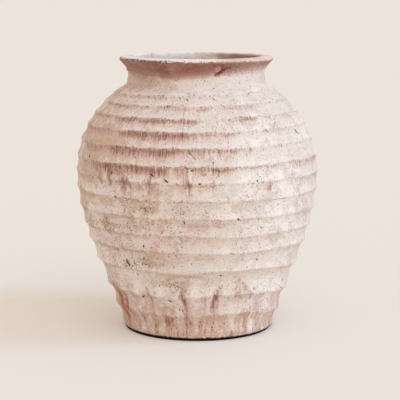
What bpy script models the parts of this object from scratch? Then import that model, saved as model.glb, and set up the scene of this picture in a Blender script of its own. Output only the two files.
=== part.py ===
"""A hand-thrown, ribbed clay vase with a pinched neck and a wide lip, on a thin dark pad.

Metres, +Z up. The origin is the centre of the pad's underside, where the vase stands.
"""

import math

import bpy

OBJECT_NAME = "textured_vase"

# Heights, each from the end of the one before it
BELLY_HEIGHT = 0.1700
SHOULDER_HEIGHT = 0.1125
LIP_HEIGHT = 0.0175

# Outside radii
FOOT_RADIUS = 0.0828
BELLY_RADIUS = 0.1334
NECK_RADIUS = 0.0740
LIP_OVERHANG = 0.0096

# Slopes and blends of the outside: radius gained per unit of height, and lengths
FOOT_FLARE = 0.32
SHOULDER_FULLNESS = 2.2
SHOULDER_TUCK = 0.0310
COLLAR_FLARE = 0.20
COLLAR_BLEND = 0.0050
LIP_CURVE = 1.25
LIP_EDGE = 0.0044
FOOT_EDGE = 0.0016

# Finger ribs: crests counted from the collar down, each groove a little taller than the one above
RIB_DROP = 0.0102
RIB_PITCH = 0.00985
RIB_GROWTH = 0.00115
RIB_DEPTH_SHARE = 0.12
RIB_SKEW = 1.25
RIB_FRACTIONS = (0.0, 0.13, 0.34, 0.58, 0.82)

# Inside of the pot
WALL = 0.0080
NECK_WALL = 0.0065
FLOOR = 0.0120
MOUTH_FLARE = 0.0017
MOUTH_EDGE = 0.0030
THROAT_BLEND = 0.0120
INNER_FLOOR_BLEND = 0.0220
INNER_STEPS = 14

# Pad glued under the foot
PAD_THICKNESS = 0.0020
PAD_INSET = 0.0016
PAD_EDGE = 0.0004
GLUE_GAP = 0.0003

TURN_STEPS = 48
EDGE_STEPS = 4
LIP_STEPS = 6
COLLAR_STEPS = 4
MERGE_DISTANCE = 0.00001

LIP_RADIUS = NECK_RADIUS + LIP_OVERHANG
THROAT_RADIUS = NECK_RADIUS - NECK_WALL
MOUTH_RADIUS = THROAT_RADIUS + MOUTH_FLARE
PAD_RADIUS = FOOT_RADIUS - PAD_INSET
NECK_LEVEL = BELLY_HEIGHT + SHOULDER_HEIGHT
RIM_LEVEL = NECK_LEVEL + LIP_HEIGHT
FOOT_LEVEL = PAD_THICKNESS + GLUE_GAP
FIRST_CREST = NECK_LEVEL - RIB_DROP


def clear_scene():
    """Remove every object of the open scene."""
    for item in list(bpy.data.objects):
        bpy.data.objects.remove(item, do_unlink=True)


def make_collection(name):
    """Return a new collection linked to the scene."""
    collection = bpy.data.collections.new(name)
    bpy.context.scene.collection.children.link(collection)
    return collection


def make_material(name, colour, roughness):
    """Return a plain Principled material."""
    material = bpy.data.materials.new(name)
    material.use_nodes = True
    shader = material.node_tree.nodes["Principled BSDF"]
    shader.inputs["Base Color"].default_value = (*colour, 1.0)
    shader.inputs["Roughness"].default_value = roughness
    shader.inputs["Metallic"].default_value = 0.0
    return material


def lower_wall(z):
    """Radius of the crest line from foot to belly: a cubic that leaves the foot at FOOT_FLARE."""
    span = BELLY_HEIGHT - FOOT_LEVEL
    u = (z - FOOT_LEVEL) / span
    rise = u * u * (3.0 - 2.0 * u)
    start = FOOT_FLARE * span * u * (1.0 - u) ** 2
    return FOOT_RADIUS + (BELLY_RADIUS - FOOT_RADIUS) * rise + start


def shoulder_wall(z):
    """Radius of the crest line above the belly: a quarter of a full ellipse that ends inside the neck."""
    power = SHOULDER_FULLNESS
    end_share = (NECK_RADIUS - SHOULDER_TUCK) / BELLY_RADIUS
    rise = SHOULDER_HEIGHT / (1.0 - end_share ** power) ** (1.0 / power)
    share = min((z - BELLY_HEIGHT) / rise, 1.0)
    return BELLY_RADIUS * (1.0 - share ** power) ** (1.0 / power)


def neck_wall(z):
    """Radius of the collar below the neck and of the lip's underside above it."""
    if z <= NECK_LEVEL:
        return NECK_RADIUS + COLLAR_FLARE * (NECK_LEVEL - z)
    share = (z - NECK_LEVEL) / (LIP_HEIGHT - LIP_EDGE)
    return NECK_RADIUS + (LIP_RADIUS - NECK_RADIUS) * min(share, 1.0) ** LIP_CURVE


def smooth_max(first, second, blend):
    """Return the larger value, rounded off over the given blend length."""
    overlap = max(blend - abs(first - second), 0.0) / blend
    return max(first, second) + overlap ** 2 * blend / 4.0


def crest_line(z):
    """Outside radius of the pot at height z, before the grooves are pressed in."""
    if z <= BELLY_HEIGHT:
        return lower_wall(z)
    return smooth_max(shoulder_wall(z), neck_wall(z), COLLAR_BLEND)


def crest_level(number):
    """Height of a rib's crest, or of a place between two crests for a fractional number."""
    return FIRST_CREST - RIB_PITCH * number - RIB_GROWTH * number * (number - 1.0) / 2.0


def groove_depth(number):
    """Depth of the finger groove at a fractional crest number: a skewed parabola between two crests."""
    share = (number % 1.0) ** RIB_SKEW
    pitch = RIB_PITCH + RIB_GROWTH * math.floor(number)
    return RIB_DEPTH_SHARE * pitch * 4.0 * share * (1.0 - share)


def arc(centre_x, centre_z, radius, start_degrees, end_degrees, steps):
    """Points along a circular arc in the profile's plane, both ends included."""
    points = []
    for index in range(steps + 1):
        angle = math.radians(start_degrees + (end_degrees - start_degrees) * index / steps)
        points.append((centre_x + radius * math.cos(angle), centre_z + radius * math.sin(angle)))
    return points


def inner_radius(z):
    """Radius of the smooth hollow: one wall inside the crest line, down to the throat at the neck."""
    if z <= BELLY_HEIGHT:
        return lower_wall(z) - WALL
    return smooth_max(shoulder_wall(z) - WALL, THROAT_RADIUS, THROAT_BLEND)


def inner_profile():
    """Points from the middle of the inner floor up to the mouth's edge."""
    floor_level = FOOT_LEVEL + FLOOR
    blend_level = floor_level + INNER_FLOOR_BLEND
    wall_foot = inner_radius(blend_level)
    points = [(0.0, floor_level)]
    points += [(wall_foot - INNER_FLOOR_BLEND + x, blend_level + z)
               for x, z in arc(0.0, 0.0, INNER_FLOOR_BLEND, -90.0, 0.0, EDGE_STEPS)]
    top = NECK_LEVEL
    for index in range(1, INNER_STEPS + 1):
        z = blend_level + (top - blend_level) * index / INNER_STEPS
        points.append((inner_radius(z), z))
    edge_centre = RIM_LEVEL - MOUTH_EDGE
    points += arc(MOUTH_RADIUS + MOUTH_EDGE, edge_centre, MOUTH_EDGE, 180.0, 90.0, EDGE_STEPS)
    return points


def lip_profile():
    """Points over the lip's rounded outer edge and down its underside to the neck."""
    half_edge = LIP_EDGE / 2.0
    points = arc(LIP_RADIUS - half_edge, RIM_LEVEL - half_edge, half_edge, 90.0, 0.0, EDGE_STEPS)
    underside = RIM_LEVEL - LIP_EDGE
    for index in range(LIP_STEPS):
        z = underside + (NECK_LEVEL - underside) * index / LIP_STEPS
        points.append((neck_wall(z), z))
    return points


def collar_profile():
    """Points down the plain collar, from the neck to the first rib's crest."""
    points = []
    for index in range(COLLAR_STEPS):
        z = NECK_LEVEL + (FIRST_CREST - NECK_LEVEL) * index / COLLAR_STEPS
        points.append((crest_line(z), z))
    return points


def rib_profile():
    """Points down the ribbed wall, to the last place that clears the foot's rounded edge."""
    points = []
    lowest = FOOT_LEVEL + FOOT_EDGE
    number = 0
    while crest_level(number) > lowest:
        for fraction in RIB_FRACTIONS:
            place = number + fraction
            z = crest_level(place)
            if z > lowest:
                points.append((crest_line(z) - groove_depth(place), z))
        number += 1
    return points


def foot_profile():
    """Points round the foot's edge and in to the middle of the underside."""
    centre = FOOT_RADIUS - FOOT_EDGE
    points = arc(centre, FOOT_LEVEL + FOOT_EDGE, FOOT_EDGE, 0.0, -90.0, EDGE_STEPS)
    points.append((0.0, FOOT_LEVEL))
    return points


def make_turned(name, points, collection):
    """Return a solid of revolution about the Z axis, made from a profile with a Screw modifier."""
    mesh = bpy.data.meshes.new(name)
    vertices = [(x, 0.0, z) for x, z in points]
    edges = [(index, index + 1) for index in range(len(points) - 1)]
    mesh.from_pydata(vertices, edges, [])
    turned = bpy.data.objects.new(name, mesh)
    collection.objects.link(turned)
    screw = turned.modifiers.new("turn", "SCREW")
    screw.axis = "Z"
    screw.angle = math.tau
    screw.steps = TURN_STEPS
    screw.render_steps = TURN_STEPS
    screw.use_merge_vertices = True
    screw.merge_threshold = MERGE_DISTANCE
    screw.use_smooth_shade = True
    return turned


def make_vase_body(collection):
    """The one-piece clay pot: ribbed outside, smooth inside, wide lip, flat foot."""
    points = inner_profile() + lip_profile() + collar_profile() + rib_profile() + foot_profile()
    body = make_turned("vase_body", points, collection)
    body.data.materials.append(make_material("slip_coated_clay", (0.76, 0.67, 0.59), 0.9))
    return body


def make_base_pad(collection):
    """The thin dark disc under the foot, with a slightly eased edge."""
    bpy.ops.mesh.primitive_cylinder_add(
        vertices=TURN_STEPS,
        radius=PAD_RADIUS,
        depth=PAD_THICKNESS,
        location=(0.0, 0.0, PAD_THICKNESS / 2.0),
    )
    pad = bpy.context.object
    pad.name = "base_pad"
    pad.data.name = "base_pad"
    for owner in list(pad.users_collection):
        owner.objects.unlink(pad)
    collection.objects.link(pad)
    bevel = pad.modifiers.new("eased_edge", "BEVEL")
    bevel.width = PAD_EDGE
    bevel.segments = 1
    bevel.limit_method = "ANGLE"
    pad.data.materials.append(make_material("black_felt", (0.012, 0.010, 0.010), 0.95))
    return pad


def main():
    """Build both pieces."""
    clear_scene()
    collection = make_collection(OBJECT_NAME)
    make_vase_body(collection)
    make_base_pad(collection)


main()
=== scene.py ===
"""A hand-thrown, finger-ribbed clay vase under a chalky slip, on a thin felt pad, with its studio.

Lengths are millimetres until a mesh is made of them. +Z is up and -Y is the front. An azimuth is in degrees
from the front and grows to the right, as the front is seen. The origin is the middle of the pad's underside.
"""

import logging
import math
from dataclasses import dataclass
from enum import Enum

import bpy
import numpy as np
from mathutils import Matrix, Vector
from numpy.typing import NDArray


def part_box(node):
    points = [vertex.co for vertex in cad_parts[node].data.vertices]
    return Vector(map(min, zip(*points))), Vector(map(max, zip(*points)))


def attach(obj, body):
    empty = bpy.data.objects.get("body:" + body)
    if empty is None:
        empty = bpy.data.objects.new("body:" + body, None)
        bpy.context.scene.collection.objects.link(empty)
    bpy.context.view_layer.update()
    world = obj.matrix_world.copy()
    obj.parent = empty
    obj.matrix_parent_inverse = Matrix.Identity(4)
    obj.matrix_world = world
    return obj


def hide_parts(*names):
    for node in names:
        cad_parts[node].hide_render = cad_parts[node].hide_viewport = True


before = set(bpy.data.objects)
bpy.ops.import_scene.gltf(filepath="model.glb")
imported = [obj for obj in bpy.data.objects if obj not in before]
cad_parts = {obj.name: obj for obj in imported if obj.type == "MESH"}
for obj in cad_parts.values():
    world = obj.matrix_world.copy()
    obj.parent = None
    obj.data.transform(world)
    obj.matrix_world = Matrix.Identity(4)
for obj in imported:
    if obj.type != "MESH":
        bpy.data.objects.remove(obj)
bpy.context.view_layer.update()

Array = NDArray[np.float64]
Place = tuple[float, float]
Tree = bpy.types.NodeTree
Socket = bpy.types.NodeSocket

MM = 0.001
BODY = "root"
BODY_NODE = "vase_body"
PAD_NODE = "base_pad"
FIELDS = ("clay", "pit", "wash", "tint", "crumb", "drip", "foot", "grit")
NEARLY_NOUGHT = 1e-9

log = logging.getLogger("vase")


def linear(code: str) -> tuple[float, float, float, float]:
    """Turn an sRGB hex colour into linear RGBA.

    Args:
        code: Six hex digits, such as "F2E9E2".

    Returns:
        Red, green, blue and an alpha of 1, as a shader socket takes them.
    """
    shares = [int(code[start:start + 2], 16) / 255.0 for start in (0, 2, 4)]
    red, green, blue = [s / 12.92 if s <= 0.04045 else ((s + 0.055) / 1.055) ** 2.4 for s in shares]
    return red, green, blue, 1.0


def ease(value: Array, start: Array | float, end: Array | float) -> Array:
    """Rise from 0 at start to 1 at end along the cubic 3t^2 - 2t^3.

    Args:
        value: What is eased.
        start: Value that gives 0.
        end: Value that gives 1. It may be below start.

    Returns:
        An array of value's shape.
    """
    t = np.clip((value - start) / (end - start), 0.0, 1.0)
    return t * t * (3.0 - 2.0 * t)


@dataclass(frozen=True)
class Ramp:
    """An eased step from 0 at one value to 1 at another, which may be the lower one."""

    start: float
    end: float

    def of(self, value: Array) -> Array:
        """Return the step's height at each value."""
        return ease(value, self.start, self.end)


@dataclass(frozen=True)
class Hump:
    """An eased rise from 0 at start to 1 at full, and an eased fall from 1 at fading to 0 at end."""

    start: float
    full: float
    fading: float
    end: float

    def of(self, value: Array) -> Array:
        """Return the hump's height at each value."""
        return ease(value, self.start, self.full) * ease(value, self.end, self.fading)


@dataclass(frozen=True)
class Bell:
    """The bell exp(-((x - middle) / width)^2)."""

    middle: float
    width: float

    def of(self, value: Array) -> Array:
        """Return the bell's height at each value."""
        return np.exp(-((value - self.middle) / self.width) ** 2)


@dataclass(frozen=True)
class SideToSide:
    """A number that changes with the side, which is -1 at the pot's left edge and 1 at its right edge.

    It is plain + slope * side, plus a share of each ramp or bell.
    """

    plain: float = 0.0
    slope: float = 0.0
    parts: tuple[tuple[float, Ramp | Bell], ...] = ()

    def of(self, side: Array) -> Array:
        """Return the number at each side."""
        return self.plain + self.slope * side + sum(share * shape.of(side) for share, shape in self.parts)


@dataclass(frozen=True)
class Noise:
    """Seeded smooth noise in space, about -height to height.

    Every corner of a repeating cubic lattice holds a random direction. A point takes, from each of the eight
    corners of its cell, the dot product of that direction and the way from the corner to the point, and
    blends the eight by the quintic 6t^5 - 15t^4 + 10t^3 of its place in the cell. Each layer after the first
    has the next seed, half the cell and half the height of the one before.
    """

    seed: int
    cell: float | tuple[float, float, float]
    height: float = 1.0
    layers: int = 1
    corners: int = 32
    gain: float = 1.6

    def at(self, points: Array) -> Array:
        """Return the noise.

        Args:
            points: Places in millimetres, shape (..., 3).

        Returns:
            An array without the last axis of points.
        """
        total = np.zeros(points.shape[:-1])
        for step in range(self.layers):
            total += self.layer(self.seed + step, points / (np.asarray(self.cell) / 2 ** step)) / 2 ** step
        return self.height * total

    def layer(self, seed: int, scaled: Array) -> Array:
        """Return one layer, about -1 to 1.

        Args:
            seed: Seed of the lattice's directions.
            scaled: Places in cells, shape (..., 3).

        Returns:
            An array without the last axis of scaled.
        """
        directions = np.random.default_rng(seed).normal(size=(self.corners,) * 3 + (3,))
        directions /= np.linalg.norm(directions, axis=-1, keepdims=True)
        low = np.floor(scaled).astype(int)
        part = scaled - low
        blend = part ** 3 * (part * (part * 6.0 - 15.0) + 10.0)
        total = np.zeros(scaled.shape[:-1])
        for corner in np.ndindex(2, 2, 2):
            index = (low + corner) % self.corners
            way = directions[index[..., 0], index[..., 1], index[..., 2]]
            dot = np.sum(way * (part - corner), axis=-1)
            total += dot * np.prod(np.where(corner, blend, 1.0 - blend), axis=-1)
        return total * self.gain


class Region(Enum):
    """Stretches of the pot's outline, in the order of its rows."""

    INNER_FLOOR = 0
    INNER_WALL = 1
    MOUTH = 2
    RIM_TOP = 3
    LIP_EDGE = 4
    LIP_UNDERSIDE = 5
    WALL = 6
    FOOT_EDGE = 7
    BASE = 8


COATED = (Region.LIP_UNDERSIDE, Region.WALL)


def arc(radius: float, level: float, size: float, start: float, end: float,
        steps: int) -> tuple[Array, Array]:
    """Points along a circular arc in the outline's plane.

    Args:
        radius: Distance of the arc's centre from the axis.
        level: Height of the arc's centre.
        size: The arc's own radius.
        start: First angle in degrees from the outward direction.
        end: Last angle in degrees.
        steps: Number of steps, one less than the points.

    Returns:
        The points' radii and levels.
    """
    angle = np.radians(np.linspace(start, end, steps + 1))
    return radius + size * np.cos(angle), level + size * np.sin(angle)


@dataclass(frozen=True)
class Outline:
    """The pot's turned outline: foot, belly, shoulder, collar, lip, and the hollow inside."""

    foot_level: float
    rim_level: float
    belly_radius: float
    belly_level: float = 170.0
    neck_level: float = 282.5
    foot_radius: float = 82.8
    neck_radius: float = 74.0
    lip_radius: float = 83.6
    foot_flare: float = 0.32
    shoulder_fullness: float = 2.2
    shoulder_tuck: float = 31.0
    collar_flare: float = 0.20
    collar_blend: float = 4.0
    lip_curve: float = 1.25
    lip_edge: float = 4.2
    rim_fall: float = 0.8
    foot_edge: float = 1.6
    wall: float = 8.0
    neck_wall: float = 6.5
    floor: float = 12.0
    floor_blend: float = 22.0
    throat_blend: float = 12.0
    mouth_flare: float = 1.7
    mouth_edge: float = 3.0
    wall_rows: int = 244
    fine_steps: int = 2000
    floor_rows: int = 5
    blend_start: float = -72.0
    blend_steps: int = 4
    throat_level: float = 262.0
    hollow_rows: int = 18
    mouth_level: float = 292.0
    throat_rows: int = 9
    mouth_steps: int = 5
    rim_rows: int = 8
    lip_steps: int = 5
    lip_shares: tuple[float, ...] = (0.35, 0.7)
    underside_rows: int = 13
    foot_start: float = -22.0
    foot_steps: int = 3
    base_ring: float = 60.0
    base_rows: int = 3

    @classmethod
    def of_node(cls, node: str) -> "Outline":
        """Read the foot's level, the rim's level and the belly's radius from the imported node.

        Args:
            node: Name of the CAD node that holds the pot.

        Returns:
            The outline, with its other sizes at their own values.
        """
        low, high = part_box(node)
        return cls(foot_level=low.z / MM, rim_level=high.z / MM, belly_radius=(high.x - low.x) / 2.0 / MM)

    def lower_wall(self, level: Array) -> Array:
        """Foot to belly: a cubic in height that leaves the foot with the slope foot_flare."""
        span = self.belly_level - self.foot_level
        u = (level - self.foot_level) / span
        swell = (self.belly_radius - self.foot_radius) * u * u * (3.0 - 2.0 * u)
        return self.foot_radius + swell + self.foot_flare * span * u * (1.0 - u) ** 2

    def shoulder(self, level: Array) -> Array:
        """Above the belly: a quarter of a full ellipse, |r|^p + |z|^p = 1, that ends inside the neck."""
        power = self.shoulder_fullness
        end = (self.neck_radius - self.shoulder_tuck) / self.belly_radius
        rise = (self.neck_level - self.belly_level) / (1.0 - end ** power) ** (1.0 / power)
        share = np.clip((level - self.belly_level) / rise, 0.0, 1.0)
        return self.belly_radius * (1.0 - share ** power) ** (1.0 / power)

    def neck(self, level: Array) -> Array:
        """Collar below the neck, a slow cone, and the lip's underside above it, a rising power curve."""
        collar = self.neck_radius + self.collar_flare * (self.neck_level - level)
        height = self.rim_level - self.rim_fall - self.lip_edge - self.neck_level
        share = np.clip((level - self.neck_level) / height, 0.0, 1.0)
        underside = self.neck_radius + (self.lip_radius - self.neck_radius) * share ** self.lip_curve
        return np.where(level <= self.neck_level, collar, underside)

    @staticmethod
    def larger(first: Array, second: Array, blend: float) -> Array:
        """Return the larger value, rounded off over the blend length."""
        overlap = np.clip(blend - np.abs(first - second), 0.0, None) / blend
        return np.maximum(first, second) + overlap ** 2 * blend / 4.0

    def crest(self, level: Array) -> Array:
        """Outside radius before the grooves are pressed in."""
        above = self.larger(self.shoulder(level), self.neck(level), self.collar_blend)
        return np.where(level <= self.belly_level, self.lower_wall(level), above)

    def hollow(self, level: Array) -> Array:
        """Inside radius: one wall in from the outside, and no narrower than the throat."""
        throat = self.neck_radius - self.neck_wall
        above = self.larger(self.shoulder(level) - self.wall, np.full_like(level, throat), self.throat_blend)
        return np.where(level <= self.belly_level, self.lower_wall(level) - self.wall, above)

    def even_levels(self, top: float, bottom: float, rows: int) -> Array:
        """Levels down the outside wall, at equal steps along its outline."""
        fine = np.linspace(top, bottom, self.fine_steps)
        step = np.hypot(np.diff(self.crest(fine)), np.diff(fine))
        run = np.concatenate([[0.0], np.cumsum(step)])
        return np.interp(np.linspace(0.0, run[-1], rows), run, fine)

    def rows(self) -> tuple[Array, Array, NDArray[np.int64]]:
        """Rows from the middle of the inner floor, up the hollow, over the lip and down to the base's middle.

        Returns:
            Radius, level and Region value of each row. The first and the last row are single points.
        """
        inner_floor = self.foot_level + self.floor
        blend_top = inner_floor + self.floor_blend
        blend_radius = float(self.hollow(np.array(blend_top))) - self.floor_blend
        flat = np.linspace(0.0, blend_radius, self.floor_rows)
        inner = np.concatenate([np.linspace(blend_top, self.throat_level, self.hollow_rows)[1:],
                                np.linspace(self.throat_level, self.mouth_level, self.throat_rows)[1:]])
        mouth = self.neck_radius - self.neck_wall + self.mouth_flare + self.mouth_edge
        half = self.lip_edge / 2.0
        rim = np.linspace(mouth, self.lip_radius - half, self.rim_rows)[1:-1]
        rim_share = (rim - rim[0]) / (rim[-1] - rim[0])
        edge_level = self.rim_level - self.rim_fall - half
        edge = edge_level - half * np.array(self.lip_shares)
        under = np.linspace(edge_level - half, self.neck_level, self.underside_rows)
        lowest = self.foot_level + self.foot_edge
        wall = self.even_levels(self.neck_level, lowest, self.wall_rows)[1:]
        foot = self.foot_radius - self.foot_edge
        base = np.linspace(self.base_ring, 0.0, self.base_rows)
        parts = [
            (Region.INNER_FLOOR, flat, np.full(len(flat), inner_floor)),
            (Region.INNER_FLOOR,
             *arc(blend_radius, blend_top, self.floor_blend, self.blend_start, 0, self.blend_steps)),
            (Region.INNER_WALL, self.hollow(inner), inner),
            (Region.MOUTH,
             *arc(mouth, self.rim_level - self.mouth_edge, self.mouth_edge, 180, 90, self.mouth_steps)),
            (Region.RIM_TOP, rim, self.rim_level - self.rim_fall * rim_share ** 2),
            (Region.LIP_EDGE, *arc(self.lip_radius - half, edge_level, half, 90, 0, self.lip_steps)),
            (Region.LIP_EDGE, np.full(len(edge), self.lip_radius), edge),
            (Region.LIP_UNDERSIDE, self.neck(under), under),
            (Region.WALL, self.crest(wall), wall),
            (Region.FOOT_EDGE, *arc(foot, lowest, self.foot_edge, self.foot_start, -90, self.foot_steps)),
            (Region.BASE, base, np.full(len(base), self.foot_level)),
        ]
        radius = np.concatenate([part[1] for part in parts])
        level = np.concatenate([part[2] for part in parts])
        region = np.concatenate([np.full(len(part[1]), part[0].value) for part in parts])
        return radius, level, region


@dataclass(frozen=True)
class Grooves:
    """Where the points of the skin stand in the finger grooves.

    A number is whole on a crest, with a fraction that grows down the groove, and rib is its whole part. Below
    is the height under the crest. Along is a place that is the same all the way down a groove, so that noise
    looked up by it hangs in tongues.
    """

    number: Array
    rib: Array
    below: Array
    along: Array


@dataclass(frozen=True)
class Rib:
    """One finger rib: the height of its crest, and the depth of the groove pressed below it."""

    level: float
    depth: float


@dataclass(frozen=True)
class RibSet:
    """All finger ribs, top to bottom. A hand sets them, so their heights and depths are uneven."""

    ribs: tuple[Rib, ...]
    side_tilt: float = 5.0
    side_tilt_loss: float = 0.0185
    front_tilt: float = 4.2
    front_tilt_loss: float = 0.011
    right_rise: float = 3.2
    right: Hump = Hump(8.0, 60.0, 110.0, 180.0)
    low_rise: float = 4.2
    low: Ramp = Ramp(105.0, 75.0)
    low_right: Hump = Hump(-10.0, 16.0, 24.0, 60.0)
    wobble: tuple[Noise, ...] = (Noise(11, 55.0, 1.3), Noise(12, 17.0, 0.5), Noise(14, 6.0, 0.45))
    unevenness: Noise = Noise(13, (60.0, 60.0, 24.0), 0.22)
    deeper: float = 0.55
    deeper_side: Hump = Hump(0.42, 0.62, 0.82, 0.98)
    deeper_levels: Hump = Hump(62.0, 84.0, 155.0, 175.0)
    skew: float = 0.82
    crest_softness: float = 0.6
    bell_reach: float = 4.0
    table_step: float = 0.2
    table_margin: float = 20.0
    groove_spacing: float = 40.0

    def phase_level(self, level: Array, azimuth: Array, wobble: Array) -> Array:
        """Height to look a rib up by: the ribs climb to the left and to the front, less so higher up.

        From 8 to 60 degrees on the right they climb a little again, and come down behind. The lowest ones
        also climb a little right of the middle.

        Args:
            level: Heights of the points.
            azimuth: Their azimuths in radians.
            wobble: Their own small shifts of height.

        Returns:
            Heights at which an untilted set of ribs would have the same groove.
        """
        side = self.side_tilt - self.side_tilt_loss * level
        front = self.front_tilt - self.front_tilt_loss * level
        degrees = np.degrees(azimuth)
        right = self.right_rise * self.right.of(degrees)
        low = self.low_rise * self.low.of(level) * self.low_right.of(degrees)
        return level + side * np.sin(azimuth) - front * np.cos(azimuth) - right - low + wobble

    def crest_levels(self) -> Array:
        """Heights of the crests, top to bottom."""
        return np.array([rib.level for rib in self.ribs])

    def number(self, phase: Array) -> Array:
        """Crest number at a phase level: whole on a crest, with a fraction that grows down the groove."""
        levels = self.crest_levels()
        return np.interp(phase, levels[::-1], np.arange(len(levels))[::-1].astype(float))

    def below(self, number: Array) -> Array:
        """Height below the crest above, from the crest number."""
        whole = np.clip(np.floor(number), 0, len(self.ribs) - 2).astype(int)
        levels = self.crest_levels()
        return (number - whole) * (levels[whole] - levels[whole + 1])

    def depth(self, phase: Array) -> Array:
        """Depth of the grooves: finger-wide scallops, steepest right below each crest.

        At the share s of the way down to the next crest, the section is 4 D t (1 - t), with t = s^skew. A
        narrow bell blurs it, to round the crests.

        Args:
            phase: Phase levels of the points.

        Returns:
            Depth below the crest line at each point.
        """
        crests = self.crest_levels()
        levels = np.arange(crests[-1] - self.table_margin, crests[0] + self.table_margin, self.table_step)
        number = self.number(levels)
        whole = np.clip(np.floor(number), 0, len(self.ribs) - 2).astype(int)
        share = np.clip(number - whole, 0.0, 1.0) ** self.skew
        section = 4.0 * np.array([rib.depth for rib in self.ribs])[whole] * share * (1.0 - share)
        reach = self.bell_reach * self.crest_softness
        kernel = np.exp(-0.5 * (np.arange(-reach, reach, self.table_step) / self.crest_softness) ** 2)
        section = np.convolve(section, kernel / kernel.sum(), mode="same")
        return np.interp(phase, levels, section)

    def press(self, skin: "Surface") -> Grooves:
        """Press the grooves into the wall, each a little uneven, and the low ones deeper at the left.

        Args:
            skin: The grid, whose lift is changed.

        Returns:
            Where the points stand in the grooves.
        """
        points, around = skin.points(), skin.wrap()
        level = points[..., 2]
        phase = self.phase_level(level, skin.azimuth, sum(noise.at(points) for noise in self.wobble))
        left = self.deeper_side.of(-skin.side) * (skin.facing > 0.0) * self.deeper_levels.of(level)
        uneven = 1.0 + self.unevenness.at(points) + self.deeper * left
        skin.gain(self.depth(phase) * uneven, (Region.WALL,), lift=-1.0)
        number = self.number(phase)
        rib = np.floor(number)
        along = np.stack([around[..., 0], around[..., 1], self.groove_spacing * rib], axis=-1)
        return Grooves(number, rib, self.below(number), along)


@dataclass(frozen=True)
class Effect:
    """What a mark does to the skin in its middle.

    A hollow is in millimetres, and below nought it stands out. Clay and foot are what those fields gain, and
    pit scales the depth inside the edge. The edge is softness times as wide as the mark, and fade is the
    share of the effect that is lost towards both ends of its line.
    """

    hollow: float
    pit: float = 0.0
    clay: float = 0.0
    foot: float = 0.0
    softness: float = 1.0
    fade: float = 0.0


class MarkKind(Enum):
    """What a mark is, with its effect."""

    PIT = Effect(0.7, pit=1.0, clay=0.15)
    SCRATCH = Effect(0.4, pit=0.8, clay=0.15, softness=1.1)
    DENT = Effect(0.9, clay=0.2, softness=1.6)
    STREAK = Effect(0.3, clay=0.85, softness=1.6, fade=0.55)
    VEIN = Effect(0.35, clay=0.58, foot=0.34, softness=1.3, fade=0.50)
    LUMP = Effect(-1.2, clay=-0.42, softness=1.3)
    # A crease lays deep, dark clay: bare clay, with painted shade in the crease.
    CREASE = Effect(0.7, clay=1.3, softness=1.1, fade=0.3)
    DRIP = Effect(-0.45, clay=-0.6, foot=-0.8, softness=1.2, fade=0.3)
    RUN = Effect(0.2, foot=0.3, softness=1.4, fade=0.6)


@dataclass(frozen=True)
class Mark:
    """A mark along a line on the unrolled wall, by way of some places, and narrower by a share at its end.

    A place is an azimuth in degrees and a height, and the width is half of the mark's own.
    """

    start: Place
    end: Place
    width: float
    strength: float = 1.0
    taper: float = 0.0
    via: tuple[Place, ...] = ()


def spot(azimuth: float, level: float, width: float, strength: float = 1.0) -> Mark:
    """A round mark: one whose line has no length.

    Args:
        azimuth: Where it is, in degrees from the front.
        level: Its height.
        width: Its half width.
        strength: Share of its kind's full effect.

    Returns:
        The mark.
    """
    return Mark((azimuth, level), (azimuth, level), width, strength)


@dataclass(frozen=True)
class Patch:
    """A soft patch of the coat: thinner or warmer slip, clay that shows through, brown crumbs or foot runs.

    It fades from its middle as exp(-(a / wide)^2 - (h / tall)^2), where a is in degrees round the pot and h
    in millimetres of height. Below nought, a share does the opposite: the slip is thicker or cooler.
    """

    azimuth: float
    level: float
    wide: float
    tall: float
    wash: float = 0.0
    tint: float = 0.0
    clay: float = 0.0
    crumb: float = 0.0
    foot: float = 0.0


@dataclass(frozen=True)
class StainBand:
    """Clay that shows under one rib's crest, over a range of azimuths, down to reach below the crest."""

    rib: int
    start: float
    end: float
    strength: float
    reach: float
    fade_outside: float = 6.0
    fade_inside: float = 1.0

    def share(self, degrees: Array) -> Array:
        """Return the band's strength at each azimuth, eased at both ends of its range."""
        whole = Hump(self.start - self.fade_outside, self.start + self.fade_inside,
                     self.end - self.fade_inside, self.end + self.fade_outside)
        return self.strength * whole.of(degrees)


RIBS = (
    Rib(272.0, 0.6), Rib(262.0, 1.0), Rib(252.0, 1.8), Rib(240.0, 1.5), Rib(226.6, 2.1), Rib(210.3, 1.8),
    Rib(192.0, 1.7), Rib(174.4, 1.8), Rib(155.9, 2.4), Rib(136.5, 2.6), Rib(117.2, 2.8), Rib(98.7, 3.1),
    Rib(75.0, 3.8), Rib(46.4, 3.5), Rib(23.8, 2.4), Rib(3.0, 0.0),
)

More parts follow.
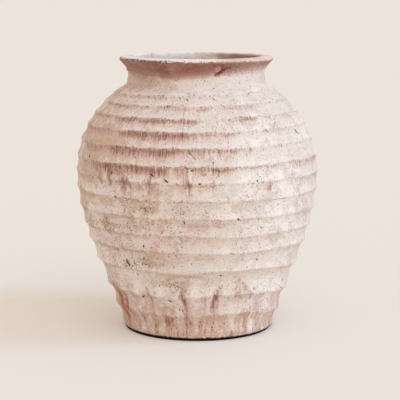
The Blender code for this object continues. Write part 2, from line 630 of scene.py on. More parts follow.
BANDS = (
    StainBand(1, -62, -22, 0.50, 4.0),
    StainBand(1, -22, 14, 0.28, 3.5),
    StainBand(2, -68, -8, 0.48, 4.5),
    StainBand(2, -6, 7, 0.62, 4.5),
    StainBand(2, 17, 39, 0.40, 4.5),
    StainBand(3, -76, -46, 0.45, 6.0),
    StainBand(3, -46, -16, 0.82, 6.5),
    StainBand(3, -15, -1, 0.80, 6.0),
    StainBand(3, 17, 25, 0.34, 5.0),
    StainBand(3, 25, 33, 0.76, 5.0),
    StainBand(3, 36, 60, 0.25, 4.0),
    StainBand(4, -74, -42, 0.50, 8.0),
    StainBand(4, -42, -22, 0.95, 8.5),
    StainBand(4, -23, -2, 0.98, 7.5),
    StainBand(4, -2, 18, 0.50, 5.5),
    StainBand(4, 18, 52, 0.20, 4.5),
    StainBand(5, -66, -44, 0.58, 9.5),
    StainBand(5, -45, -12, 1.05, 10.0),
    StainBand(5, -12, 17, 0.72, 7.5),
    StainBand(5, 17, 26, 0.45, 5.0),
    StainBand(5, 26, 46, 0.20, 4.0),
    StainBand(6, -66, -50, 0.50, 11.0),
    StainBand(6, -50, -34, 0.90, 11.5),
    StainBand(6, -34, -13, 0.94, 11.5),
    StainBand(6, -13, 15, 0.74, 8.0),
    StainBand(6, 16, 27, 0.38, 5.5),
    StainBand(6, 29, 41, 0.36, 5.0),
    StainBand(6, 52, 57, 0.45, 6.0),
    StainBand(6, 62, 88, 0.40, 9.0),
    StainBand(7, -62, -20, 0.22, 9.0),
    StainBand(7, -12, 8, 0.30, 6.0),
    StainBand(7, 55, 86, 0.30, 9.0),
    StainBand(8, -28, 12, 0.18, 4.0),
    StainBand(12, -20, 6, 0.20, 4.0),
)

PATCHES = (
    Patch(-66, 165, 16, 30, wash=-0.15, tint=0.25),
    Patch(-45, 205, 22, 40, tint=0.25, wash=0.08),
    Patch(-52, 215, 16, 18, wash=0.20, tint=0.45),
    Patch(-6, 204, 24, 30, wash=0.26, tint=0.10),
    Patch(-62, 100, 18, 40, wash=-0.55, tint=0.1),
    Patch(-32, 150, 14, 9, wash=0.10, tint=0.35, crumb=0.06),
    Patch(-28, 127, 13, 9, wash=0.50, tint=0.10, crumb=0.24),
    Patch(-52, 127, 13, 8, wash=0.30, crumb=0.28, tint=0.4),
    Patch(-34, 104, 14, 5, wash=0.25, crumb=0.34, tint=0.3),
    Patch(-22, 92, 10, 9, crumb=0.16, tint=0.4),
    Patch(-14, 104, 22, 40, wash=0.22, tint=0.45),
    Patch(-29, 90, 7, 5, crumb=0.24, tint=0.2),
    Patch(-41, 84, 6, 5, crumb=0.16),
    Patch(-25, 86, 6, 4, crumb=0.22, tint=0.2),
    Patch(-25, 149, 5, 3, crumb=0.14, tint=0.2),
    Patch(-10, 104, 2.5, 7, crumb=0.50),
    Patch(-39, 126, 8, 4, crumb=0.18, tint=0.2),
    Patch(-41, 85, 12, 8, crumb=0.40, tint=0.3),
    Patch(-48, 105, 10, 8, crumb=0.14, tint=0.1),
    Patch(-56, 92, 12, 10, wash=-0.45),
    Patch(-23, 164, 14, 9, wash=0.35, tint=0.50, crumb=0.06),
    Patch(-23.5, 148, 4, 4, crumb=0.50, tint=0.3),
    Patch(-8, 148, 9, 10, tint=-0.60, crumb=0.20),
    # Painted shade: this patch darkens the slip around the crest at 174 mm.
    Patch(-13, 173, 12, 6, wash=0.22, tint=0.35, crumb=0.08),
    Patch(9, 189, 7, 7, wash=-0.15, clay=-0.20),
    Patch(-12, 130, 22, 42, wash=0.05, tint=0.12),
    Patch(-51, 84, 9, 38, wash=-0.28, tint=-0.10),
    Patch(-45, 69, 11, 11, tint=-0.10, wash=-0.30),
    Patch(-6, 106, 9, 7, tint=-0.55),
    Patch(-11, 113, 12, 7, wash=0.40),
    Patch(10, 132, 6, 5, wash=0.80, tint=0.4, clay=0.24),
    Patch(-1, 132, 5, 4, wash=0.60, tint=0.4, clay=0.16),
    Patch(8, 120, 10, 5, wash=0.45),
    Patch(-7, 75, 12, 3, wash=0.35, tint=1.0, clay=0.20),
    Patch(-18, 66, 9, 5, crumb=0.40, tint=0.4),
    Patch(-9, 60, 4, 6, crumb=0.45, tint=0.4, wash=0.2),
    Patch(18, 101, 5, 2, tint=1.2, clay=0.26),
    Patch(8, 96, 10, 3, wash=0.3, tint=0.6),
    Patch(32, 158, 22, 30, wash=-0.78, tint=-0.12),
    Patch(48, 112, 24, 44, wash=-0.60, tint=0.02),
    Patch(58, 170, 16, 24, wash=-0.30),
    Patch(36, 178, 14, 16, wash=-0.35),
    Patch(80, 30, 20, 18, wash=0.35, tint=0.15),
    Patch(27, 56, 7, 12, wash=0.70, clay=0.12),
    Patch(24, 68, 3, 6, wash=0.55, clay=0.12),
    Patch(68, 175, 9, 14, wash=0.10),
    Patch(72, 196, 8, 10, wash=0.45),
    Patch(46, 247, 8, 6, wash=0.35),
    Patch(57, 240, 7, 6, wash=0.40),
    Patch(57, 204, 8, 7, wash=0.25),
    Patch(30, 240, 24, 26, wash=-0.25, tint=-0.10),
    Patch(6, 38, 34, 14, foot=-0.48, wash=0.26),
    Patch(-34, 34, 14, 14, foot=-0.34, tint=0.2),
    Patch(-68, 46, 10, 20, foot=0.40),
    Patch(-50, 40, 8, 16, foot=-0.42, tint=0.15),
    Patch(48, 33, 15, 18, wash=-0.75, tint=0.35, foot=-0.22),
    Patch(-40, 42, 12, 20, tint=0.05, wash=-0.30),
    Patch(5, 24, 9, 9, tint=0.45, clay=0.06),
    Patch(52, 17, 26, 12, foot=-0.24),
    Patch(54, 52, 30, 16, tint=0.18),
    Patch(-64, 22, 14, 20, foot=-0.26),
    Patch(-45, 277, 20, 9, wash=0.52, tint=1.05, clay=0.25, crumb=0.28),
    Patch(-22, 286, 7, 5, clay=0.20),
    Patch(-32, 265, 24, 7, wash=-0.32, tint=-0.25, clay=-0.12),
    Patch(-80, 272, 22, 10, wash=0.55, tint=0.35),
    Patch(78, 276, 20, 8, wash=0.50, clay=0.10),
)

NAMED_MARKS = {
    MarkKind.PIT: (
        Mark((-14.6, 180.6), (-13.0, 178.2), 0.8, 0.9),
        spot(27.9, 178.0, 1.2, 0.9), spot(-40.0, 159.1, 1.3), spot(-28.0, 107.5, 1.2),
        spot(-37.1, 46.8, 1.3),
        Mark((-19.0, 45.4), (-17.2, 44.0), 0.9, 0.9),
        Mark((-11.3, 36.0), (-9.8, 33.8), 0.8, 0.60),
        spot(10.5, 52.7, 1.2), spot(19.1, 138.4, 1.2), spot(51.2, 107.0, 1.1), spot(33.1, 90.6, 1.1),
        Mark((12.5, 75.3), (13.4, 74.5), 0.9, 0.8),
        spot(-61.3, 197.2, 1.3),
        Mark((0.6, 176.3), (1.6, 176.5), 0.9, 0.9),
        spot(11.5, 259.9, 1.0), spot(-2.4, 190.3, 1.0), spot(-8.1, 117.9, 1.0, 0.8),
        spot(-10.5, 103.3, 0.9, 0.8), spot(1.4, 99.2, 0.9, 0.8), spot(-29.1, 90.4, 1.0, 0.8),
        spot(-20.9, 185.3, 1.1, 0.9), spot(42.2, 209.5, 0.9, 0.8), spot(6.0, 186.2, 1.0, 0.9),
        spot(-59.6, 126.5, 1.0, 0.8),
        Mark((1.2, 168.1), (1.1, 165.0), 0.5, 0.7),
        Mark((-18.0, 165.3), (-18.0, 165.0), 0.8, 0.8),
        Mark((-19.2, 162.0), (-19.1, 161.8), 0.6, 0.7),
        Mark((-9.0, 36.6), (-7.6, 35.0), 0.8, 0.5),
    ),
    MarkKind.SCRATCH: (
        Mark((-3.6, 209.0), (-0.6, 202.0), 0.6, 0.7),
        Mark((-5.0, 206.6), (-2.4, 200.4), 0.5, 0.6),
        Mark((13.6, 164.0), (14.2, 158.5), 0.6, 0.5),
        Mark((-42.2, 87.0), (-39.8, 82.6), 1.3, 0.7),
        Mark((-30.4, 92.6), (-28.4, 89.6), 0.8, 0.40),
        Mark((-26.6, 151.0), (-23.8, 148.0), 0.8, 0.40),
        Mark((19.8, 125.4), (21.0, 123.8), 0.7, 0.6),
        Mark((61.2, 225.4), (63.0, 220.8), 0.9, 0.9),
        Mark((-38.4, 191.7), (-36.0, 188.2), 0.7, 0.6),
        Mark((-21.4, 185.3), (-19.9, 183.7), 0.6, 0.8),
        Mark((-5.5, 194.8), (-4.1, 191.9), 0.6, 0.7),
        Mark((-38.4, 54.6), (-21.4, 46.6), 0.4, 0.5, via=((-35.1, 49.2), (-27.4, 47.8))),
        Mark((17.2, 284.2), (24.0, 290.2), 0.75, 0.75, 0.3, via=((20.0, 286.2),)),
        Mark((34.1, 293.6), (34.5, 295.0), 0.5, 0.7),
        Mark((-7.5, 289.1), (-7.1, 286.4), 0.5, 0.7),
        Mark((55.2, 56.6), (81.1, 39.2), 0.4, 0.4),
        Mark((58.4, 72.8), (66.5, 56.2), 0.4, 0.4, via=((60.4, 65.2),)),
    ),
    MarkKind.DENT: (
        spot(-30.0, 284.5, 2.2),
    ),
    MarkKind.LUMP: (
        spot(-88.0, 285.0, 2.0, 0.8),
        Mark((16.1, 292.7), (16.4, 288.4), 2.2, 1.0),
        Mark((-18.6, 288.8), (-18.4, 285.6), 3.2, 0.8),
    ),
    MarkKind.CREASE: (
        spot(-86.0, 285.0, 1.4, 0.7),
        Mark((16.6, 283.9), (27.5, 290.6), 1.9, 1.5, 0.5, via=((20.0, 286.2), (24.2, 290.4))),
        Mark((12.4, 292.6), (20.6, 290.2), 1.5, 1.2, 0.3, via=((15.6, 295.4), (19.2, 294.4))),
    ),
    MarkKind.STREAK: (
        Mark((7.9, 191.6), (7.9, 190.0), 2.6, 0.8),
        Mark((34.8, 174.0), (34.8, 167.0), 1.8, 0.6),
        Mark((-53.0, 189.0), (-48.4, 166.5), 3.2, 0.78, 0.85, via=((-50.3, 178.8),)),
        Mark((-45.4, 187.0), (-42.2, 168.1), 3.2, 0.78, 0.85, via=((-44.2, 179.2),)),
        Mark((-35.6, 180.8), (-35.0, 161.2), 4.2, 0.85, 0.85),
        Mark((-32.2, 175.3), (-31.5, 168.3), 1.6, 0.75, 0.7),
        Mark((-27.1, 175.1), (-27.1, 165.7), 1.4, 0.60, 0.5),
        Mark((-22.2, 181.0), (-21.9, 164.0), 3.2, 0.80, 0.7),
        Mark((-4.1, 182.2), (-4.0, 165.3), 3.2, 0.80, 0.6),
        Mark((-29.2, 197.4), (-28.5, 187.2), 1.4, 0.6, 0.5),
        Mark((7.3, 180.2), (7.3, 171.0), 1.2, 0.4, 0.5),
    ),
    MarkKind.DRIP: (
        Mark((-29.9, 196.2), (-29.4, 177.8), 1.0, 1.5),
        Mark((-18.9, 194.4), (-18.8, 184.3), 0.9, 1.1),
        Mark((-11.9, 193.1), (-11.9, 183.9), 0.9, 1.1),
        Mark((-3.0, 191.3), (-3.0, 178.2), 1.0, 1.3),
        Mark((-26.9, 210.7), (-26.9, 201.7), 0.9, 1.1),
        Mark((-1.6, 63.6), (0.1, 29.8), 6.0, 1.3, 0.3, via=((-1.4, 46.4),)),
        Mark((-1.0, 27.0), (-2.0, 8.0), 3.2, 0.60, 0.2),
        Mark((24.0, 24.0), (25.0, 9.0), 4.0, 0.45, 0.2),
        Mark((-48.0, 34.0), (-45.0, 8.0), 2.2, 0.7, 0.2),
        Mark((6.9, 63.4), (6.4, 38.6), 2.6, 0.9, 0.3, via=((7.1, 48.0),)),
        Mark((18.6, 62.2), (19.1, 56.4), 4.4, 0.9),
        Mark((16.1, 52.1), (15.6, 30.8), 4.0, 0.7, 0.4, via=((15.8, 39.0),)),
        Mark((21.9, 37.6), (34.9, 39.2), 4.0, 0.9, via=((28.4, 37.6),)),
        Mark((21.0, 30.0), (22.5, 21.4), 1.9, 0.7, 0.4),
        Mark((37.9, 60.7), (59.3, 58.7), 6.0, 0.8, via=((46.8, 58.1),)),
        Mark((37.0, 51.5), (37.9, 40.8), 1.8, 0.7, 0.2),
        Mark((40.5, 17.7), (42.1, 4.3), 2.4, 0.6),
        Mark((-40.0, 60.1), (-36.8, 9.1), 3.6, 1.25, 0.3, via=((-39.8, 46.2), (-36.2, 30.6))),
        Mark((-23.4, 59.1), (-27.2, 8.7), 3.0, 1.30, 0.2, via=((-25.6, 42.3), (-26.8, 27.9))),
        Mark((-14.1, 60.5), (-12.4, 12.1), 3.4, 1.2, 0.2, via=((-13.5, 45.3), (-12.8, 29.8))),
    ),
    MarkKind.RUN: (
        Mark((-59.8, 55.0), (-61.8, 5.4), 3.2, 1.0, via=((-61.9, 40.4), (-57.6, 27.9))),
        Mark((-20.0, 33.7), (-21.8, 7.4), 4.2, 1.0, via=((-20.4, 21.8),)),
        Mark((5.6, 33.9), (5.5, 8.9), 6.0, 1.0, via=((6.5, 23.2),)),
    ),
    MarkKind.VEIN: (
        Mark((-60.3, 55.4), (-51.6, 14.6), 3.0, 0.95, 0.3,
             via=((-57.7, 47.6), (-56.5, 40.0), (-57.6, 27.9), (-53.4, 22.2))),
        Mark((-43.1, 29.7), (-41.4, 12.4), 1.6, 0.75, 0.2, via=((-42.0, 22.0),)),
        Mark((-32.8, 58.8), (-30.4, 8.5), 1.3, 0.75, 0.2,
             via=((-31.0, 49.6), (-30.8, 41.4), (-30.8, 34.1), (-29.8, 22.6))),
        Mark((-66.0, 50.0), (-63.0, 6.0), 5.0, 1.00, via=((-64.0, 30.0),)),
        Mark((-50.0, 30.0), (-47.0, 8.0), 2.2, 0.80, 0.4),
        Mark((-33.0, 20.0), (-32.0, 6.0), 1.6, 0.6),
        Mark((-12.0, 26.0), (-12.6, 6.0), 1.8, 0.45),
        Mark((2.5, 27.0), (2.0, 6.0), 1.6, 0.25),
        Mark((-24.9, 30.6), (-16.1, 29.4), 0.7, 0.5, via=((-22.9, 36.3), (-19.5, 38.0), (-16.8, 34.7))),
        Mark((-12.8, 58.0), (-8.0, 36.0), 5.4, 0.62, 0.8, via=((-10.6, 48.0),)),
        Mark((-10.1, 54.0), (-7.0, 34.5), 2.4, 0.90, 0.5, via=((-8.8, 49.2), (-7.6, 41.0))),
        Mark((-7.4, 31.2), (-9.6, 6.7), 3.6, 0.80, 0.3, via=((-7.4, 20.7),)),
        Mark((2.2, 52.5), (4.0, 52.9), 1.2, 0.7, via=((2.0, 47.0), (2.8, 40.6), (4.2, 40.6), (4.6, 47.0))),
        Mark((13.0, 56.0), (9.8, 33.0), 5.4, 0.60, 0.5, via=((12.0, 46.0),)),
        Mark((10.8, 54.0), (8.4, 34.0), 2.4, 0.80, 0.4, via=((10.4, 47.8), (9.5, 40.2))),
        Mark((20.1, 31.4), (19.8, 24.2), 1.3, 0.5, 0.3),
        Mark((24.8, 69.5), (35.9, 44.9), 1.6, 0.50, via=((28.2, 61.3), (33.8, 52.3))),
        Mark((23.0, 65.2), (27.0, 47.5), 2.4, 0.26, via=((24.0, 55.0),)),
        Mark((34.6, 29.5), (36.6, 4.4), 3.0, 0.65, 0.3, via=((35.4, 16.6),)),
        Mark((-22.0, 31.0), (-21.0, 8.0), 6.0, 0.58, 0.4),
    ),
}


@dataclass(frozen=True)
class Scatter:
    """Pits that nobody placed: how many there are, between which levels, and how they are drawn.

    Most are small: a half width is least plus a cubed random share of the rest up to most. Some are drawn out
    into short oblique strokes, by way_round degrees and way_down millimetres. Above the shoulder they are
    fainter.
    """

    count: int = 520
    top: float = 262.0
    bottom: float = 8.0
    least: float = 0.45
    most: float = 1.0
    stroke_share: float = 0.35
    way_round: tuple[float, float] = (-0.8, 0.8)
    way_down: tuple[float, float] = (-2.4, -0.8)
    strengths: tuple[float, float] = (0.45, 1.0)
    shoulder: float = 205.0
    shoulder_strength: float = 0.65
    seed: int = 41

    def marks(self) -> list[Mark]:
        """Draw the pits.

        Returns:
            The marks, in the order in which they are drawn.
        """
        draw = np.random.default_rng(self.seed)
        found = []
        for _ in range(self.count):
            azimuth, level = draw.uniform(-180.0, 180.0), draw.uniform(self.bottom, self.top)
            width = self.least + (self.most - self.least) * draw.random() ** 3
            end = (azimuth, level)
            if draw.random() < self.stroke_share:
                end = (azimuth + draw.uniform(*self.way_round), level + draw.uniform(*self.way_down))
            strength = draw.uniform(*self.strengths)
            if level > self.shoulder:
                strength *= self.shoulder_strength
            found.append(Mark((azimuth, level), end, width, strength))
        return found


@dataclass
class Surface:
    """The pot's skin as a grid, rows along the outline and columns round the axis, with its fields.

    The lift is in millimetres along a row's normal. The other fields tell the material what shows: how bare
    the clay is, how thin the slip is (wash) and how warm (tint), how dirty it is and how dark its painted
    shade (crumb), how sandy it is (grit), how much fine streaks break the clay's edge (drip), how
    strong the foot's runs are, and how deep a point lies inside a pit, which is filled with painted shade.
    """

    radius: Array
    level: Array
    region: NDArray[np.int64]
    azimuth: Array
    cylinder: float = 120.0
    raggedness: Noise = Noise(71, 7.0, 0.45, 3)
    no_pit: float = -4.0
    no_foot: float = -1.0
    mark_reach: float = 5.0
    mark_margin: float = 3.0
    hollow_width: float = 1.5
    widest_hollow: float = 2.0
    drip_of_clay: float = 1.4
    wash_of_foot: float = 0.65

    def __post_init__(self) -> None:
        """Work out each row's normal and path length, each column's side, and the fields' first values."""
        step = np.hypot(np.diff(self.radius), np.diff(self.level))
        self.path = np.concatenate([[0.0], np.cumsum(step)])
        slope_r, slope_z = np.gradient(self.radius, self.path), np.gradient(self.level, self.path)
        length = np.hypot(slope_r, slope_z)
        self.normal_r, self.normal_z = -slope_z / length, slope_r / length
        self.side, self.facing = np.sin(self.azimuth), np.cos(self.azimuth)
        shape = (len(self.radius), len(self.azimuth))
        self.lift, self.clay, self.wash, self.tint = np.zeros((4, *shape))
        self.crumb, self.drip, self.grit = np.zeros((3, *shape))
        self.pit = np.full(shape, self.no_pit)
        self.foot = np.full(shape, self.no_foot)
        self.ragged = self.raggedness.at(self.points())

    def points(self) -> Array:
        """Places of the undisplaced grid, shape (rows, columns, 3)."""
        radius, level = self.radius[:, None], self.level[:, None]
        return np.stack(np.broadcast_arrays(radius * self.side, -radius * self.facing, level), axis=-1)

    def wrap(self) -> Array:
        """Places on a plain cylinder of one radius, with the path down the outline as height.

        Returns:
            Points in which a streak down the wall is a straight line along Z, with no seam.
        """
        around = self.cylinder * self.side, -self.cylinder * self.facing
        return np.stack(np.broadcast_arrays(*around, -self.path[:, None]), axis=-1)

    def rows_of(self, *regions: Region) -> NDArray[np.bool_]:
        """Rows that lie in one of the regions, as a column of truth values."""
        return np.isin(self.region, [region.value for region in regions])[:, None]

    def gain(self, part: Array | float, regions: tuple[Region, ...], **shares: float) -> None:
        """Add shares of one part to some fields.

        Args:
            part: What is added, a number or values on the grid.
            regions: Where it is added.
            shares: Name of a field to the share of the part that it gains.
        """
        here = np.where(self.rows_of(*regions), part, 0.0)
        for name, share in shares.items():
            getattr(self, name)[...] += share * here

    def near(self, mark: Mark) -> tuple[slice, Array, Array]:
        """Measure the wall round a mark.

        Args:
            mark: The mark, whose places are on the wall or on the lip's underside.

        Returns:
            The rows that it can reach, the distance of their points to its line on the unrolled wall, and the
            share of the line that lies before each point's nearest place on it.
        """
        outer = self.rows_of(*COATED)[:, 0]
        first = int(np.argmax(outer))
        path = self.path[first:first + int(outer.sum())]
        level = self.level[first:first + len(path)]
        places = np.array((mark.start, *mark.via, mark.end))
        runs = np.interp(places[:, 1], level[::-1], path[::-1])
        reach = self.mark_reach * mark.width + self.mark_margin
        rows = slice(first + int(np.searchsorted(path, runs.min() - reach)),
                     first + int(np.searchsorted(path, runs.max() + reach)))
        radius = float(np.interp(runs.mean(), self.path, self.radius))
        turn = np.angle(np.exp(1j * (self.azimuth - math.radians(mark.start[0]))))
        across, along = np.broadcast_arrays(radius * turn, (self.path[rows] - runs[0])[:, None])
        corners = np.stack([radius * np.radians(places[:, 0] - mark.start[0]), runs - runs[0]], axis=-1)
        distance, share = np.full(across.shape, np.inf), np.zeros(across.shape)
        for leg, (near, far) in enumerate(zip(corners, corners[1:])):
            line = far - near
            length = max(float(line @ line), NEARLY_NOUGHT)
            part = np.clip(((across - near[0]) * line[0] + (along - near[1]) * line[1]) / length, 0.0, 1.0)
            gap = np.hypot(across - near[0] - part * line[0], along - near[1] - part * line[1])
            share = np.where(gap < distance, (leg + part) / (len(corners) - 1), share)
            distance = np.minimum(gap, distance)
        return rows, distance, share

    def stamp(self, kind: MarkKind, mark: Mark) -> None:
        """Press one mark into the wall.

        With d the distance to the mark's line, made uneven, and w the mark's half width with its soft edge,
        the lift loses hollow * exp(-(d / w)^2), and the clay, drip, foot and wash fields gain their shares
        of exp(-(d / w)^4). Wide marks are deeper, up to a width. At the share s of the line, all this is 1 -
        fade * (2 s - 1)^2 as strong. The pit field becomes at least the width left outside d, so that a
        material can cut a crisp edge at nought.

        Args:
            kind: What the mark is.
            mark: Where it is.
        """
        effect = kind.value
        rows, distance, share = self.near(mark)
        distance = distance * (1.0 + self.ragged[rows])
        width = mark.width * effect.softness * (1.0 - mark.taper * share)
        strength = mark.strength * (1.0 - effect.fade * (2.0 * share - 1.0) ** 2)
        depth = effect.hollow * strength * np.minimum(width, self.widest_hollow) / self.hollow_width
        self.lift[rows] -= depth * np.exp(-(distance / width) ** 2)
        bell = strength * np.exp(-(distance / width) ** 4)
        self.clay[rows] += effect.clay * bell
        self.drip[rows] += self.drip_of_clay * max(effect.clay, 0.0) * bell
        self.foot[rows] += effect.foot * bell
        self.wash[rows] += self.wash_of_foot * min(effect.foot, 0.0) * bell
        if effect.pit > 0.0:
            inside = (mark.width * mark.strength - distance) * effect.pit
            self.pit[rows] = np.maximum(self.pit[rows], inside)

    def dab(self, patch: Patch) -> None:
        """Lay one soft patch on the outside of the pot.

        Args:
            patch: The patch, whose shares are added to the fields.
        """
        turn = np.degrees(np.angle(np.exp(1j * (self.azimuth - math.radians(patch.azimuth)))))
        rise = self.level[:, None] - patch.level
        fade = np.exp(-(turn / patch.wide) ** 2 - (rise / patch.tall) ** 2)
        self.gain(fade, COATED, wash=patch.wash, tint=patch.tint, clay=patch.clay, crumb=patch.crumb,
                  foot=patch.foot)


def node(tree: Tree, kind: str, inputs: dict | None = None, **settings: object) -> bpy.types.Node:
    """Add a node, with its settings and what feeds its inputs.

    Args:
        tree: The node tree.
        kind: The node's type name.
        inputs: Socket name or number to a value, or to the socket that feeds it.
        settings: Attributes of the node.

    Returns:
        The new node.
    """
    made = tree.nodes.new(kind)
    for name, value in settings.items():
        setattr(made, name, value)
    for socket, value in (inputs or {}).items():
        if isinstance(value, Socket):
            tree.links.new(value, made.inputs[socket])
        else:
            made.inputs[socket].default_value = value
    return made


def new_tree(name: str) -> tuple[bpy.types.Material, Tree]:
    """Make a material whose node tree is empty.

    Args:
        name: The material's name.

    Returns:
        The material and its tree.
    """
    material = bpy.data.materials.new(name)
    material.use_nodes = True
    material.node_tree.nodes.clear()
    return material, material.node_tree


@dataclass(frozen=True)
class ChalkySlip:
    """Terracotta under a brushed and dripped coat of chalky slip, fired matt and rubbed back.

    The eye gets a dry, powdery cream with no gloss, mottled and a little gritty. Where the coat ran thin,
    pink shines through it. Where it ran off under the ribs, red-brown clay shows in soft upright strokes,
    darkest right under the crest, with crumbs of dirt there and shade painted under the crest. The pits are
    filled with painted shade.
    """

    cream: str = "E5E0DB"
    white: str = "F3F1F0"
    cool: str = "DAD6D0"
    tan: str = "CDB9A7"
    pink: str = "D8C1B8"
    veil: str = "CAB1AA"
    clay: str = "AC8981"
    deep_clay: str = "966559"
    rust: str = "A56E58"
    run: str = "DEC3B3"
    edge: str = "D4B5A6"
    vein: str = "A8745E"
    fleck_and_shade: str = "B69A83"
    speck: str = "745A4D"
    dirt_and_shade: str = "84685A"
    pit_shade_and_grime: str = "38231B"
    sand_grain: float = 2.4
    fine_grain: float = 1.3
    patch: float = 26.0
    blotch: float = 8.0
    stroke_width: float = 1.25
    stroke_length: float = 12.0
    run_width: float = 8.0
    run_stretch: float = 3.4
    swirl_width: float = 10.0
    speck_spacing: float = 4.0
    speck_free: float = 0.6
    speck_size: float = 0.19
    sand_share: float = 0.5
    least_contrast: float = 0.08
    grit_contrast: float = 0.20
    roughness: float = 0.93
    specular: float = 0.2

    def parts(self, tree: Tree) -> dict[str, Socket]:
        """Add what the looks are mixed of: the piece's attributes, noises centred on nought, and specks.

        Args:
            tree: The material's tree.

        Returns:
            Name of each part to its socket.
        """
        place = node(tree, "ShaderNodeTexCoord").outputs["Object"]
        wrap = node(tree, "ShaderNodeAttribute", attribute_name="wrap").outputs["Vector"]
        part = {name: node(tree, "ShaderNodeAttribute", attribute_name=name).outputs["Fac"]
                for name in FIELDS}
        # Strokes of the brush and of drips are 0.3 to 1.3 mm wide and 12 mm long at most, upright on the
        # unrolled wall. The wider runs at the foot are 8 mm wide and over three times as long, and wander.
        # Veins of bare clay follow the lines along which the swirls cross nought.
        upright = {"Vector": wrap, "Scale": (1.0, 1.0, self.stroke_width / self.stroke_length)}
        drawn = node(tree, "ShaderNodeMapping", upright).outputs[0]
        wander = {"Vector": wrap, "Scale": (1.0, 1.0, 1.0 / self.run_stretch)}
        flowing = node(tree, "ShaderNodeMapping", wander).outputs[0]
        # The real grit is 0.2 to 0.5 mm, too fine for the picture, so it is drawn at 1.3 and 2.4 mm. Each
        # noise has its vector, size, detail and warp.
        noises = {
            "stroke": (drawn, self.stroke_width, 2.5, 0.0),
            "run": (flowing, self.run_width, 1.0, 1.2),
            "swirl": (flowing, self.swirl_width, 1.0, 1.2),
            "sand": (place, self.sand_grain, 2.0, 0.0),
            "fine": (place, self.fine_grain, 1.0, 0.0),
            "patch": (place, self.patch, 1.6, 0.0),
            "blotch": (place, self.blotch, 2.0, 0.0),
        }
        for name, (vector, size, detail, warp) in noises.items():
            inputs = {"Vector": vector, "Scale": 1.0 / (size * MM), "Detail": detail, "Distortion": warp}
            part[name] = node(tree, "ShaderNodeTexNoise", inputs, normalize=False).outputs["Fac"]
        part["ridge"] = node(tree, "ShaderNodeMath", {0: part["swirl"]}, operation="ABSOLUTE").outputs[0]
        # Specks of clay and soot stand about 4 mm apart, and four in ten of the places hold one.
        inputs = {"Vector": place, "Scale": 1.0 / (self.speck_spacing * MM)}
        specks = node(tree, "ShaderNodeTexVoronoi", inputs)
        chance = node(tree, "ShaderNodeSeparateColor", {0: specks.outputs["Color"]}).outputs[0]
        inputs = {"Value": chance, "From Min": self.speck_free, "To Max": self.speck_size}
        part["size"] = node(tree, "ShaderNodeMapRange", inputs).outputs[0]
        part["distance"] = specks.outputs["Distance"]
        return part

    @staticmethod
    def add_sums(tree: Tree, part: dict[str, Socket]) -> None:
        """Add weighted sums of the parts to them, each of which later sums may take up.

        Args:
            tree: The material's tree.
            part: Name of each part to its socket. A weight that is a name stands for that part.
        """
        sums = {
            "rough": {"grit": 0.42},
            "bare": {"clay": 1.0, "stroke": "drip", "sand": "rough", "fine": "rough"},
            "slide": {"foot": 1.0, "run": 0.70, "sand": 0.28, "fine": 0.26},
            "vein": {"foot": 1.1, "ridge": -3.6, "run": 0.9, "sand": 0.7},
            "dust": {"foot": 0.35, "fine": 1.5, "sand": 1.1, "run": -0.4},
            "thin": {"wash": 1.0, "patch": 0.46, "blotch": 0.32, "sand": 0.36},
            "pale": {"patch": 0.65, "blotch": 0.12, "wash": -1.0},
            "warm": {"tint": 1.0, "blotch": 0.60, "patch": -0.5, "sand": 0.35},
            "rust": {"foot": 0.6, "clay": 1.0, "stroke": "drip", "sand": 0.3},
            "grime_and_shade": {"crumb": 1.0, "fine": 1.0, "sand": 0.6},
            "hole": {"pit": 1.0, "fine": 0.5},
            "speck": {"size": 1.0, "distance": -1.0},
        }
        for name, weights in sums.items():
            total = 0.0
            for source, weight in weights.items():
                inputs = {0: part[source], 1: part.get(weight, weight), 2: total}
                total = node(tree, "ShaderNodeMath", inputs, operation="MULTIPLY_ADD").outputs[0]
            part[name] = total

    def lay_colours(self, tree: Tree, part: dict[str, Socket]) -> tuple[Socket, dict[str, Socket]]:
        """Lay the colours over each other, by sums that are eased to shares from 0 to 1.

        Args:
            tree: The material's tree.
            part: Name of each part and sum to its socket.

        Returns:
            The colour, and the share of the first layer that each sum lays.
        """
        layers = (
            ("pale", -0.1, 1.0, self.white),
            ("warm", 0.1, 1.1, self.tan),
            ("warm", -0.1, -1.1, self.cool),
            ("thin", 0.05, 1.1, self.pink),
            ("slide", 0.08, 0.50, self.edge),
            ("slide", 0.36, 0.90, self.run),
            ("vein", 0.25, 1.20, self.vein),
            ("dust", 0.42, 0.90, self.cream),
            ("bare", 0.08, 0.40, self.veil),
            ("bare", 0.36, 0.78, self.clay),
            ("bare", 0.80, 1.34, self.deep_clay),
            ("rust", 0.62, 1.10, self.rust),
            # Crumbs of dirt, and shade painted under the crests and along the lip's lower corner.
            ("grime_and_shade", 0.58, 0.88, self.fleck_and_shade),
            ("grime_and_shade", 0.85, 1.20, self.dirt_and_shade),
            ("speck", -0.03, 0.05, self.speck),
            # Painted shade in pits and scratches, with dark glue at the pad and dark flecks at the lip.
            ("hole", -0.35, 0.45, self.pit_shade_and_grime),
        )
        colour = linear(self.cream)
        share = {}
        for name, low, high, code in layers:
            inputs = {"Value": part[name], "From Min": low, "From Max": high}
            eased = node(tree, "ShaderNodeMapRange", inputs, interpolation_type="SMOOTHSTEP").outputs[0]
            inputs = {0: eased, 6: colour, 7: linear(code)}
            colour = node(tree, "ShaderNodeMix", inputs, data_type="RGBA").outputs[2]
            share.setdefault(name, eased)
